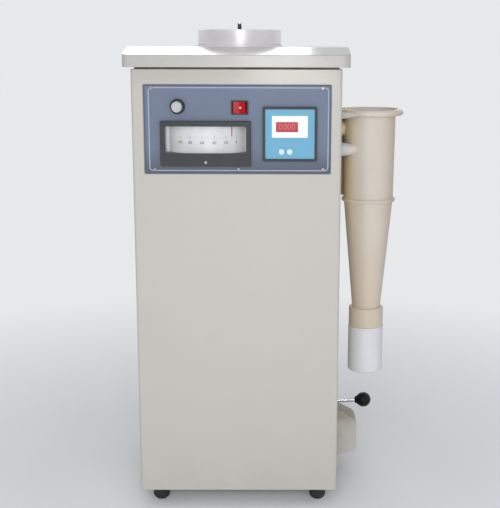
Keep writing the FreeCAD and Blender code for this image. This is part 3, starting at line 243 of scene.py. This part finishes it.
def cover_paint():
    """Smooth and glossy on the cover's front slope, which painted shade makes darker, crinkled on
    its upright band; its base is a little darker than the cabinet paint, also as painted shade.
    """
    f = Finish("cover_paint", Coat_Roughness=0.1)
    # painted shade: base a little darker than the cabinet paint
    base = rgb(185, 183, 177)
    inside = (abs(f.axis(0)) < cover_hi.x - 1 * MM) * (f.axis(1) < cover_hi.y - 1 * MM)
    slope = f.fit(f.axis(2), SLOPE_Z - 1 * MM, SLOPE_Z + 1 * MM) * inside
    speck = f.noise(900.0, 2.0)
    col = f.mix(f.fit(f.noise(2.5, 2.0), 0.35, 0.7), base, shade(base, 0.95))
    col = f.mix(f.fit(speck, 0.62, 0.72, 0.0, 0.3), col, shade(base, 0.88))
    # painted shade: the front slope made darker
    front = slope * (f.axis(1) < cover_lo.y + SLOPE_DEPTH)
    f.color(f.mix(front * 0.6, col, shade(base, 0.6)))
    f.feed(f.bsdf.inputs["Coat Weight"], f.fit(slope, 0.0, 1.0, 0.1, 0.8))
    f.rough(f.fit(f.noise(60.0, 3.0), 0.3, 0.7, 0.16, 0.22))
    peel = f.noise(240.0, 3.0, 0.6)
    height = f.fit(slope, 0.0, 1.0, 1.0, 0.02) * (peel + speck * 0.2)
    f.bump(height, 0.9, 0.0006)
    return f.m


def hood_shaded_paint():
    """Cabinet paint made duller, darker and browner for the exhaust hood as painted shade, with
    painted light towards its right side, painted shade on its top slope, and patches of dust.
    """
    f = Finish("hood_shaded_paint", Coat_Weight=0.12, Coat_Roughness=0.3)
    base = rgb(186, 181, 173)
    # painted light: lighter towards the hood's right side
    side = f.fit(f.axis(0), hood_lo.x, hood_hi.x)
    col = f.mix(side, base, rgb(194, 192, 188))
    # painted shade: browner and darker on the top slope
    slope = f.fit(f.axis(2), hood_hi.z - 34 * MM, hood_hi.z - 20 * MM)
    col = f.mix(slope * 0.7, col, rgb(150, 140, 120))
    dust = f.noise(26.0, 4.0)
    f.color(f.mix(f.fit(dust, 0.45, 0.75, 0.0, 0.5), col, rgb(154, 142, 122)))
    f.rough(f.fit(dust, 0.3, 0.7, 0.5, 0.64))
    f.bump(f.noise(420.0, 2.0, 0.4), 0.3, 0.0004)
    return f.m


def inner_steel():
    f = Finish("inner_steel")
    base = rgb(150, 152, 150)
    f.color(f.mix(f.noise(12.0, 3.0), base, shade(base, 0.82)))
    f.rough(f.fit(f.noise(80.0, 3.0), 0.3, 0.7, 0.4, 0.55))
    f.bump(f.noise(500.0, 2.0), 0.2, 0.0003)
    return f.m


def panel_blue():
    """Fine-textured film, with painted shadow along its edges and painted shade towards its foot.
    """
    f = Finish("panel_blue")
    base = rgb(104, 115, 135)
    grain = f.noise(1400.0, 2.0, 0.6)
    soft = f.noise(9.0, 3.0)
    col = f.mix(f.fit(soft, 0.3, 0.7), shade(base, 0.94), shade(base, 1.06))
    col = f.mix(f.fit(grain, 0.4, 0.65, 0.0, 0.35), col, rgb(122, 128, 146))
    # painted shade: darker towards the panel's foot
    low = f.fit(f.axis(2), panel_lo.z + 45 * MM, panel_lo.z + 8 * MM, 0.0, 0.9)
    col = f.mix(low, col, shade(rgb(104, 113, 128), 0.62))
    # painted shadow along the top, both sides and the foot of the panel
    top = f.fit(f.axis(2), panel_hi.z - 5 * MM, panel_hi.z - 1 * MM)
    right = f.fit(f.axis(0), panel_hi.x - 5 * MM, panel_hi.x - 1 * MM)
    left = f.fit(f.axis(0), panel_lo.x + 5 * MM, panel_lo.x + 1 * MM)
    foot = f.fit(f.axis(2), panel_lo.z + 4 * MM, panel_lo.z + 1 * MM)
    edge_painted_shadow = f.most(f.most(f.most(top, right), left), foot)
    f.color(f.mix(edge_painted_shadow * 0.8, col, rgb(78, 80, 98)))
    f.rough(f.fit(grain, 0.3, 0.7, 0.42, 0.55))
    f.bump(grain, 0.3, 0.0002)
    return f.m


def satin_aluminium():
    f = Finish("satin_aluminium", metallic=1.0)
    rings = f.noise(1.0, 3.0, 0.6, f.at((30, 30, 1500)))
    spots = f.noise(25.0, 4.0)
    f.color(f.mix(f.fit(spots, 0.35, 0.7), rgb(250, 247, 248), rgb(234, 231, 232)))
    f.rough(f.fit(rings, 0.3, 0.7, 0.36, 0.5))
    f.bump(rings, 0.25, 0.0002)
    return f.m


def chrome():
    f = Finish("chrome", metallic=1.0)
    f.color(f.mix(f.noise(60.0, 2.0), rgb(225, 226, 228), rgb(205, 206, 209)))
    f.rough(f.fit(f.noise(120.0, 3.0), 0.4, 0.75, 0.1, 0.18))
    f.bump(f.noise(900.0, 2.0), 0.05, 0.0001)
    return f.m


def screw_steel():
    f = Finish("screw_steel", metallic=1.0)
    f.color(f.mix(f.noise(300.0, 3.0), rgb(190, 191, 190), rgb(150, 151, 152)))
    f.rough(f.fit(f.noise(700.0, 3.0), 0.3, 0.7, 0.25, 0.45))
    f.bump(f.noise(1500.0, 2.0), 0.15, 0.0002)
    return f.m


def mesh_steel():
    f = Finish("mesh_steel", metallic=1.0)
    wires = [ridges(f.axis(i) * MESH_WIRES_PER_M) for i in (0, 1)]
    weave = f.most(*wires)
    f.color(f.mix(f.fit(weave, 0.35, 0.65), rgb(70, 70, 68), rgb(196, 195, 190)))
    f.rough(f.fit(weave, 0.3, 0.8, 0.6, 0.35))
    f.bump(weave, 0.5, 0.0003)
    return f.m


def rubber(name, colour, bump=0.3):
    f = Finish(name)
    f.color(f.mix(f.fit(f.noise(40.0, 4.0), 0.4, 0.75), colour, shade(colour, 1.9)))
    f.rough(f.fit(f.noise(200.0, 3.0), 0.3, 0.7, 0.62, 0.8))
    f.bump(f.noise(1200.0, 3.0), bump, 0.0003)
    return f.m


def moulded(name, colour, lo=0.35, hi=0.5, grain=900.0, strength=0.2, cloud=0.93, coat=0.0,
            ior=1.5):
    f = Finish(name, Coat_Weight=coat, Coat_Roughness=0.12, IOR=ior)
    f.color(f.mix(f.fit(f.noise(18.0, 3.0), 0.3, 0.7), colour, shade(colour, cloud)))
    f.rough(f.fit(f.noise(150.0, 3.0), 0.3, 0.7, lo, hi))
    f.bump(f.noise(grain, 3.0, 0.6), strength, 0.0002)
    return f.m


def knob_painted_reflection_and_chrome():
    """Lid knob, one turned piece: a polished cap over a stem coloured near-black as a painted
    reflection of its surroundings.
    """
    f = Finish("lid_knob_finish")
    cap = f.fit(f.axis(2), knob_top - 4.9 * MM, knob_top - 4.5 * MM)
    wear = f.noise(240.0, 3.0)
    # painted reflection: the stem's near-black colour stands for dim surroundings mirrored in
    # chrome
    stem_painted_reflection = f.mix(wear, rgb(26, 26, 28), rgb(40, 40, 42))
    bright = f.mix(wear, rgb(238, 239, 241), rgb(218, 219, 222))
    f.color(f.mix(cap, stem_painted_reflection, bright))
    f.feed(f.bsdf.inputs["Metallic"], cap)
    f.rough(f.fit(wear, 0.3, 0.7, 0.16, 0.3))
    f.bump(wear, 0.05, 0.0001)
    return f.m


def cyclone_beige():
    """Moulding with a glossy rim, aged browner low down and with dust runs. Painted light makes the
    side towards the cabinet lighter and yellower, and painted shade makes the far side tan; the web
    behind is painted brown as shade, and the inlet pipe pale grey as a painted reflection of the
    cabinet's side."""
    f = Finish("cyclone_beige", Subsurface_Weight=0.1, Subsurface_Radius=(0.012, 0.008, 0.005),
               Subsurface_Scale=0.5, Coat_Roughness=0.09)
    rim = f.fit(f.axis(2), barrel_hi.z - 14 * MM, barrel_hi.z - 11 * MM, 0.25, 1.0)
    f.feed(f.bsdf.inputs["Coat Weight"], rim)
    base = rgb(209, 199, 189)
    runs = f.noise(1.0, 4.0, 0.55, f.at((34, 34, 5)))
    clouds = f.noise(14.0, 4.0)
    col = f.mix(f.fit(runs, 0.4, 0.75, 0.0, 0.5), base, rgb(206, 192, 174))
    col = f.mix(f.fit(clouds, 0.45, 0.75, 0.0, 0.5), col, rgb(220, 210, 202))
    across = f.axis(0) - (cone_lo.x + cone_hi.x) / 2
    # painted shade: the far side darker tan
    col = f.mix(f.fit(across, 20 * MM, 58 * MM, 0.0, 0.8), col, rgb(194, 176, 144))
    # painted light: the side towards the cabinet lighter and yellower
    col = f.mix(f.fit(across, -20 * MM, -50 * MM, 0.0, 0.9), col, rgb(240, 216, 170))
    # painted shade: the web behind, between barrel and wall, coloured deep brown
    web = (f.axis(1) > 20 * MM) * (f.axis(0) < cone_lo.x + 6 * MM)
    col = f.mix(web, col, rgb(178, 146, 108))
    low = f.fit(f.axis(2), cone_lo.z, cone_hi.z, 0.6, 0.0)
    col = f.mix(low, col, rgb(208, 192, 168))
    # painted reflection: the inlet pipe near the wall coloured pale grey, the cabinet's side
    # mirrored in it
    near = f.fit(f.axis(0), barrel_lo.x + 36 * MM, barrel_lo.x + 64 * MM, 1.0, 0.0)
    off = abs(f.axis(2) - INLET_Z)
    pipe = near * f.fit(off, INLET_HALF, INLET_HALF + 2 * MM, 1.0, 0.0) * (f.axis(1) < 0.0)
    f.color(f.mix(pipe, col, rgb(206, 207, 210)))
    f.rough(f.fit(f.noise(90.0, 3.0), 0.3, 0.7, 0.3, 0.42))
    f.bump(f.noise(1.0, 3.0, 0.5, f.at((60, 60, 260))), 0.12, 0.0005)
    return f.m


def clear(name, alpha, tint):
    f = Finish(name, IOR=1.45)
    f.color(f.mix(f.noise(20.0, 2.0), tint, shade(tint, 0.94)))
    f.rough(f.fit(f.noise(120.0, 3.0), 0.4, 0.8, 0.05, 0.14))
    f.feed(f.bsdf.inputs["Alpha"], f.fit(f.noise(45.0, 3.0), 0.3, 0.8, alpha, alpha + 0.08))
    return f.m


def dial_paper():
    """Pale scale plate, made lighter towards both ends by painted light."""
    f = Finish("dial_paper")
    x = abs(f.axis(0) - DIAL_X)
    # painted light: the ends, which lie in the frame's shade, made whiter
    ends = f.fit(x, 30 * MM, 50 * MM)
    base = f.mix(f.fit(f.noise(25.0, 3.0), 0.3, 0.7), rgb(236, 237, 238), rgb(228, 229, 231))
    f.color(f.mix(ends, base, rgb(254, 254, 254)))
    f.rough(f.fit(f.noise(300.0, 2.0), 0.3, 0.7, 0.5, 0.62))
    f.bump(f.noise(1500.0, 2.0), 0.1, 0.0001)
    return f.m


def filter_cloth():
    f = Finish("filter_cloth")
    warp = ridges(f.axis(2) * WARP_PER_M)
    dust = f.noise(14.0, 5.0)
    col = f.mix(warp, rgb(206, 198, 178), rgb(186, 177, 156))
    f.color(f.mix(f.fit(dust, 0.4, 0.7), col, rgb(152, 144, 126)))
    f.rough(f.fit(dust, 0.3, 0.7, 0.8, 0.95))
    f.bump(warp, 0.6, 0.0005)
    return f.m


def ribbed_hose():
    f = Finish("hose_black")
    ribs = ridges(f.axis(2) * RIBS_PER_M + f.axis(0) * RIBS_PER_M)
    f.color(f.mix(ribs, rgb(52, 52, 55), rgb(30, 30, 32)))
    f.rough(f.fit(f.noise(150.0, 2.0), 0.3, 0.7, 0.45, 0.6))
    f.bump(ribs, 0.8, 0.0015)
    return f.m


def casting(name, colour, metallic=0.0):
    f = Finish(name, metallic=metallic)
    f.color(f.mix(f.noise(50.0, 4.0), colour, shade(colour, 0.75)))
    f.rough(f.fit(f.noise(200.0, 3.0), 0.3, 0.7, 0.42, 0.62))
    f.bump(f.noise(350.0, 4.0), 0.35, 0.0005)
    return f.m


MATERIALS = {
    "cabinet_paint": paint("cabinet_paint", rgb(190, 187, 179)),
    "cover_paint": cover_paint(),
    "hood_shaded_paint": hood_shaded_paint(),
    "lid_knob": knob_painted_reflection_and_chrome(),
    "inner_steel": inner_steel(),
    "panel_blue": panel_blue(),
    "satin_aluminium": satin_aluminium(),
    "chrome": chrome(),
    "screw_steel": screw_steel(),
    "mesh_steel": mesh_steel(),
    "black_rubber": rubber("black_rubber", rgb(34, 34, 36)),
    "gasket_grey": rubber("gasket_grey", rgb(92, 94, 90)),
    "white_silicone": moulded("white_silicone", rgb(214, 213, 208), 0.5, 0.62, 1200.0, 0.2, 0.94),
    "black_plastic": moulded("black_plastic", rgb(54, 55, 58), 0.38, 0.52, 1100.0, 0.3, 0.85),
    "black_gloss": moulded("black_gloss", rgb(16, 18, 18), 0.12, 0.22, 300.0, 0.05, 0.9, 0.1, 1.28),
    "red_plastic": moulded("red_plastic", rgb(178, 12, 18), 0.2, 0.3, 500.0, 0.06, 0.88, 0.1, 1.32),
    "red_window": moulded("red_window", rgb(176, 40, 54), 0.2, 0.3, 600.0, 0.05, 0.9),
    "white_plastic": moulded("white_plastic", rgb(246, 246, 246), 0.35, 0.5, 900.0, 0.1, 0.97),
    "blue_face": moulded("blue_face", rgb(107, 169, 200), 0.4, 0.5, 1600.0, 0.15, 0.95),
    "button_grey": moulded("button_grey", rgb(206, 230, 246), 0.25, 0.4, 900.0, 0.1, 0.96),
    "silver_cap": casting("silver_cap", rgb(214, 215, 218), 1.0),
    "clear_glass": clear("clear_glass", 0.05, rgb(225, 230, 232)),
    "clear_lid": clear("clear_lid", 0.22, rgb(222, 228, 230)),
    "dial_paper": dial_paper(),
    "pointer_red": moulded("pointer_red", rgb(176, 36, 40), 0.35, 0.5),
    "cyclone_beige": cyclone_beige(),
    "cup_white": moulded("cup_white", rgb(222, 222, 226), 0.3, 0.42, 500.0, 0.12, 0.95, 0.2),
    "brass": casting("brass", rgb(196, 164, 96), 1.0),
    "filter_cloth": filter_cloth(),
    "hose_black": ribbed_hose(),
    "motor_grey": casting("motor_grey", rgb(96, 99, 103)),
    "line_white": moulded("line_white", rgb(160, 172, 196), 0.4, 0.5),
    "digit_red": moulded("digit_red", rgb(214, 96, 108), 0.3, 0.4),
}

slot_of = {s["node"]: s["material_slot"] for s in frame["record"]["subparts"]}
own_finish = {"exhaust_hood": "hood_shaded_paint", "lid_knob": "lid_knob",
              "cover_gasket": "gasket_grey"}


def dress(ob, finish):
    ob.data.materials.clear()
    ob.data.materials.append(MATERIALS[finish])


for name, node in nodes.items():
    dress(node, own_finish.get(name, slot_of[name]))


# Modelling helpers

def deselect():
    if bpy.context.mode != "OBJECT":
        bpy.ops.object.mode_set(mode="OBJECT")
    bpy.ops.object.select_all(action="DESELECT")


def take(ob):
    """Makes the object the only one selected, and the active one."""
    deselect()
    ob.select_set(True)
    bpy.context.view_layer.objects.active = ob


def settle(ob, name, slot, body):
    """Puts the object's place into its mesh, names it and rides it on its body."""
    take(ob)
    if ob.type != "MESH":
        bpy.ops.object.convert(target="MESH")
        ob = bpy.context.view_layer.objects.active
    bpy.ops.object.transform_apply(location=True, rotation=True, scale=True)
    ob.name = name
    dress(ob, slot)
    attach(ob, body)
    return ob


def printed(text, size, place, turn_z, name, slot, body):
    """Numbers printed on a face that looks to the front."""
    deselect()
    bpy.ops.object.text_add(location=place, rotation=(math.pi / 2, 0, turn_z))
    ob = bpy.context.object
    ob.data.body = text
    ob.data.align_x = "CENTER"
    ob.data.align_y = "CENTER"
    ob.data.size = size
    ob.data.extrude = PRINT_DEPTH
    ob.data.resolution_u = 3
    return settle(ob, name, slot, body)


def dial_place(angle, out):
    """A point on the curved dial: angle in degrees from straight ahead, out in metres."""
    r = DIAL_R + out
    a = math.radians(angle)
    return (DIAL_X + r * math.sin(a), dial_lo.y + DIAL_R - r * math.cos(a))


def dial_numbers():
    for i, text in enumerate(("100", "80", "60", "40", "20", "0")):
        a = DIAL_FULL + i * MARKS_PER_NUMBER * DIAL_STEP
        x, y = dial_place(a, 0.1 * MM)
        printed(text, NUMBER_HEIGHT, (x, y, DIAL_Z - 5 * MM), math.radians(a),
                "dial_number_" + text, "black_rubber", "cabinet")


def scale_bar(width, height):
    """One printed scale mark with rounded ends, at the origin."""
    deselect()
    bpy.ops.mesh.primitive_cube_add(size=1.0)
    ob = bpy.context.object
    bpy.ops.object.mode_set(mode="EDIT")
    bpy.ops.mesh.select_all(action="SELECT")
    bpy.ops.transform.resize(value=(width, 0.2 * MM, height))
    bpy.ops.mesh.select_all(action="DESELECT")
    bpy.ops.object.mode_set(mode="OBJECT")
    for e in ob.data.edges:
        a, b = (ob.data.vertices[v].co for v in e.vertices)
        e.select = abs(a.y - b.y) > 0.1 * MM
    bpy.ops.object.mode_set(mode="EDIT")
    bpy.ops.mesh.bevel(offset=width * 0.3, segments=3)
    bpy.ops.object.mode_set(mode="OBJECT")
    return ob


def dial_ticks():
    """Scale marks: a long and a short bar, each copied along the dial."""
    made = []
    bars = {True: scale_bar(0.6 * MM, 5.0 * MM), False: scale_bar(0.35 * MM, 2.5 * MM)}
    for i in range(DIAL_MARKS):
        take(bars[i % MARKS_PER_NUMBER == 0])
        bpy.ops.object.duplicate(linked=False)
        ob = bpy.context.object
        a = DIAL_FULL + i * DIAL_STEP
        x, y = dial_place(a, 0.0)
        ob.rotation_euler = (0, 0, math.radians(a))
        ob.location = (x, y, DIAL_Z + 4 * MM)
        made.append(ob)
    for bar in bars.values():
        bpy.data.objects.remove(bar)
    deselect()
    for ob in made:
        ob.select_set(True)
    bpy.context.view_layer.objects.active = made[0]
    bpy.ops.object.transform_apply(location=True, rotation=True, scale=True)
    bpy.ops.object.join()
    settle(bpy.context.object, "dial_ticks", "black_rubber", "cabinet")


def flat_ring(lo, hi, r, width, thick, name, slot, body):
    """A thin printed line with rounded corners on the panel, as a flat frame."""
    deselect()
    bpy.ops.mesh.primitive_plane_add(size=1.0, rotation=(math.pi / 2, 0, 0))
    ob = bpy.context.object
    ob.scale = (hi[0] - lo[0], hi[1] - lo[1], 1)
    ob.location = ((lo[0] + hi[0]) / 2, PANEL_Y - thick / 2, (lo[1] + hi[1]) / 2)
    bpy.ops.object.transform_apply(location=True, rotation=True, scale=True)
    bpy.ops.object.mode_set(mode="EDIT")
    bpy.ops.mesh.select_all(action="SELECT")
    bpy.ops.mesh.bevel(offset=r, segments=6, affect="VERTICES")
    bpy.ops.mesh.select_all(action="SELECT")
    bpy.ops.mesh.inset(thickness=width)
    bpy.ops.mesh.delete(type="FACE")
    bpy.ops.object.mode_set(mode="OBJECT")
    thin = ob.modifiers.new("thickness", "SOLIDIFY")
    thin.thickness = thick
    thin.offset = 0.0
    bpy.ops.object.modifier_apply(modifier=thin.name)
    return settle(ob, name, slot, body)


def pick_edges(ob, test):
    """Selects the edges whose two ends pass the test, for edit mode."""
    bpy.context.tool_settings.mesh_select_mode = (False, True, False)
    for v in ob.data.vertices:
        v.select = False
    for f in ob.data.polygons:
        f.select = False
    for e in ob.data.edges:
        a, b = (ob.data.vertices[v].co for v in e.vertices)
        e.select = test(a, b)


def pick_faces(ob, test):
    """Selects the faces that pass the test, for edit mode."""
    bpy.context.tool_settings.mesh_select_mode = (False, False, True)
    for part in (ob.data.vertices, ob.data.edges):
        for item in part:
            item.select = False
    for f in ob.data.polygons:
        f.select = test(f)


def finish_with(ob, kind, **settings):
    """Adds one modifier and applies it."""
    m = ob.modifiers.new(kind.lower(), kind)
    for key, value in settings.items():
        setattr(m, key, value)
    bpy.context.view_layer.objects.active = ob
    bpy.ops.object.modifier_apply(modifier=m.name)


def rounded_plate(w, d, thick, r, z):
    """Flat plate with rounded corners, centred on the cabinet's axis."""
    deselect()
    bpy.ops.mesh.primitive_cube_add(size=1.0)
    ob = bpy.context.object
    ob.scale = (w, d, thick)
    ob.location = ((cover_lo.x + cover_hi.x) / 2, (cover_lo.y + cover_hi.y) / 2, z)
    bpy.ops.object.transform_apply(location=True, rotation=True, scale=True)
    pick_edges(ob, lambda a, b: abs(a.z - b.z) > thick / 2)
    bpy.ops.object.mode_set(mode="EDIT")
    bpy.ops.mesh.bevel(offset=r, segments=CORNER_STEPS)
    bpy.ops.object.mode_set(mode="OBJECT")
    return ob


def sloped_cover():
    """Cover of folded sheet: a long gentle slope in front and a round hole for the bowl."""
    deselect()
    size = cover_hi - cover_lo
    bpy.ops.mesh.primitive_cube_add(size=1.0, location=(cover_lo + cover_hi) / 2)
    ob = bpy.context.object
    ob.scale = size
    bpy.ops.object.transform_apply(location=True, rotation=True, scale=True)
    pick_edges(ob, lambda a, b: abs(a.z - b.z) > 1 * MM)
    bpy.ops.object.mode_set(mode="EDIT")
    bpy.ops.mesh.bevel(offset=COVER_CORNER, segments=CORNER_STEPS)
    bpy.ops.mesh.select_all(action="SELECT")
    rise = cover_hi.z - SLOPE_Z
    bpy.ops.mesh.bisect(plane_co=(0, cover_lo.y, SLOPE_Z), plane_no=(0, -rise, SLOPE_DEPTH),
                        use_fill=True, clear_outer=True)
    bpy.ops.object.mode_set(mode="OBJECT")
    pick_faces(ob, lambda f: f.normal.z < -0.9)
    bpy.ops.object.mode_set(mode="EDIT")
    bpy.ops.mesh.delete(type="FACE")
    bpy.ops.object.mode_set(mode="OBJECT")
    finish_with(ob, "SOLIDIFY", thickness=COVER_SHEET, offset=-1.0, use_even_offset=True)
    lip = rounded_plate(size.x - 2 * MM, size.y - 2 * MM, COVER_SHEET, COVER_CORNER,
                        cover_lo.z + COVER_SHEET / 2)
    way = rounded_plate(size.x - 2 * COVER_LIP, size.y - 2 * COVER_LIP, 4 * COVER_SHEET, 4 * MM,
                        cover_lo.z)
    finish_with(lip, "BOOLEAN", operation="DIFFERENCE", object=way, solver="EXACT")
    finish_with(ob, "BOOLEAN", operation="UNION", object=lip, solver="EXACT")
    for used in (lip, way):
        bpy.data.objects.remove(used)
    deselect()
    bpy.ops.mesh.primitive_cylinder_add(vertices=128, radius=BOWL_HOLE_R, depth=30 * MM,
                                        location=(0, 0, cover_hi.z))
    hole = bpy.context.object
    finish_with(ob, "BOOLEAN", operation="DIFFERENCE", object=hole, solver="EXACT")
    bpy.data.objects.remove(hole)
    finish_with(ob, "BEVEL", width=COVER_EDGE, segments=3, limit_method="ANGLE",
                angle_limit=math.radians(35))
    take(ob)
    bpy.ops.object.shade_smooth_by_angle(angle=COVER_SMOOTH)
    settle(ob, "sloped_cover", "cabinet_paint", "cabinet")
    dress(ob, "cover_paint")
    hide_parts("top_cover")


def rocker_lamp():
    """Small clear lens let into the rocker, a dome cut from a ball."""
    lo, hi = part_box("switch_rocker")
    deselect()
    bpy.ops.mesh.primitive_uv_sphere_add(segments=24, ring_count=12, radius=LAMP_R)
    ob = bpy.context.object
    bpy.ops.object.mode_set(mode="EDIT")
    bpy.ops.mesh.select_all(action="SELECT")
    bpy.ops.mesh.bisect(plane_co=(0, 0.4 * MM, 0), plane_no=(0, 1, 0), use_fill=True,
                        clear_outer=True)
    bpy.ops.mesh.select_all(action="SELECT")
    bpy.ops.transform.resize(value=(1, 0.5, 1))
    bpy.ops.object.mode_set(mode="OBJECT")
    ob.location = ((lo.x + hi.x) / 2 + 1.2 * MM, lo.y + 1.75 * MM, (lo.z + hi.z) / 2)
    bpy.ops.object.shade_smooth_by_angle(angle=math.radians(40))
    settle(ob, "rocker_lamp", "white_plastic", "rocker")


def border_line():
    """The light line round the panel."""
    lo = (panel_lo.x + BORDER_LEFT, panel_lo.z + BORDER_LOW)
    hi = (panel_hi.x - BORDER_RIGHT, panel_hi.z - BORDER_TOP)
    line = flat_ring(lo, hi, BORDER_CORNER, BORDER_WIDTH, LINE_THICK,
                     "panel_border", "panel_blue", "cabinet")
    dress(line, "line_white")


def display_digits():
    """Four noughts in the timer's window."""
    lo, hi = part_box("timer_window")
    place = ((lo.x + hi.x) / 2, lo.y - PRINT_DEPTH, (lo.z + hi.z) / 2)
    digits = printed("0000", DIGIT_HEIGHT, place, 0.0, "display_digits", "red_window", "cabinet")
    dress(digits, "digit_red")


dial_numbers()
dial_ticks()
border_line()
display_digits()
rocker_lamp()
sloped_cover()


# Floor, light and camera

def stage():
    """Pale floor that keeps the shadow and fades into the same plain colour all round."""
    deselect()
    bpy.ops.mesh.primitive_plane_add(size=30.0)
    floor = bpy.context.object
    floor.name = "floor"
    f = Finish("floor_pale")
    f.color(f.mix(f.noise(1.5, 2.0), rgb(250, 251, 252), rgb(247, 248, 250)))
    f.rough(f.fit(f.noise(6.0, 2.0), 0.3, 0.7, 0.7, 0.8))
    t = f.tree
    glow = t.nodes.new("ShaderNodeEmission")
    glow.inputs["Color"].default_value = PALE
    ray = t.nodes.new("ShaderNodeLightPath")
    seen = Sock(f, ray.outputs["Is Camera Ray"])
    far = f.add("ShaderNodeVectorMath", {"operation": "LENGTH"}, f.pos, out=1)
    both = t.nodes.new("ShaderNodeMixShader")
    f.feed(both.inputs[0], f.fit(far, 0.42, 1.5) * seen)
    t.links.new(f.bsdf.outputs[0], both.inputs[1])
    t.links.new(glow.outputs[0], both.inputs[2])
    t.links.new(both.outputs[0], t.nodes["Material Output"].inputs["Surface"])
    floor.data.materials.append(f.m)


def world():
    """Even light of its own, and the pale background for what is seen or mirrored."""
    w = bpy.data.worlds.new("studio")
    bpy.context.scene.world = w
    w.use_nodes = True
    t = w.node_tree
    back = t.nodes["Background"]
    ray = t.nodes.new("ShaderNodeLightPath")
    seen = ray.outputs["Is Camera Ray"]
    for name in ("Is Glossy Ray", "Is Transmission Ray"):
        most = t.nodes.new("ShaderNodeMath")
        most.operation = "MAXIMUM"
        t.links.new(seen, most.inputs[0])
        t.links.new(ray.outputs[name], most.inputs[1])
        seen = most.outputs[0]
    mix = t.nodes.new("ShaderNodeMix")
    mix.data_type = "RGBA"
    ins = [s for s in mix.inputs if s.type == "RGBA"]
    t.links.new(seen, mix.inputs["Factor"])
    ins[0].default_value = EVEN_LIGHT
    ins[1].default_value = PALE
    t.links.new([s for s in mix.outputs if s.type == "RGBA"][0], back.inputs["Color"])
    back.inputs["Strength"].default_value = 1.0


def area(name, place, target, size, power, mirrored=True):
    """A rectangular lamp that faces its target, shown in reflections or not."""
    light = bpy.data.lights.new(name, "AREA")
    light.shape = "RECTANGLE"
    light.size = size[0]
    light.size_y = size[1]
    light.energy = power
    ob = bpy.data.objects.new(name, light)
    bpy.context.scene.collection.objects.link(ob)
    ob.location = place
    ob.rotation_euler = (Vector(target) - Vector(place)).to_track_quat("-Z", "Y").to_euler()
    ob.visible_glossy = mirrored


CAMERA_PLACE = (67.1 * MM, -1995.5 * MM, 872.6 * MM)
CAMERA_TURN = -0.358
CAMERA_DOWN = 11.889
CAMERA_ROLL = 0.171
CAMERA_LENS = 72.82
CAMERA_SHIFT = -0.0608


def camera():
    """The photograph's camera, looking slightly down. Angles are in degrees."""
    cam = bpy.data.cameras.new("camera")
    cam.sensor_fit = "AUTO"
    cam.sensor_width = 36.0
    cam.lens = CAMERA_LENS
    cam.shift_x = CAMERA_SHIFT
    cam.clip_start = 0.05
    cam.clip_end = 60.0
    ob = bpy.data.objects.new("camera", cam)
    bpy.context.scene.collection.objects.link(ob)
    ob.location = CAMERA_PLACE
    turn = Matrix.Rotation(math.radians(CAMERA_TURN), 3, "Z")
    tilt = Matrix.Rotation(math.radians(90 - CAMERA_DOWN), 3, "X")
    roll = Matrix.Rotation(math.radians(CAMERA_ROLL), 3, "Z")
    ob.rotation_euler = (turn @ tilt @ roll).to_euler()
    bpy.context.scene.camera = ob


stage()
world()
area("key", (-0.5, -2.8, 1.5), (0, 0, 0.5), (1.4, 1.2), 14.0, False)
area("fill", (1.2, -2.6, 1.0), (0.1, 0, 0.45), (1.2, 1.4), 10.0, False)
area("front", (0.05, -2.3, 0.95), (0.05, 0, 0.5), (0.7, 0.6), 10.0, False)
area("flash", (0.12, -2.0, 0.79), (0.1, 0, 0.75), (0.3, 0.14), 3.2)
area("back", (-0.42, 2.5, 1.75), (0, 0, 0.85), (1.3, 0.9), 8.0)
camera()
bpy.context.scene.view_settings.view_transform = "Standard"
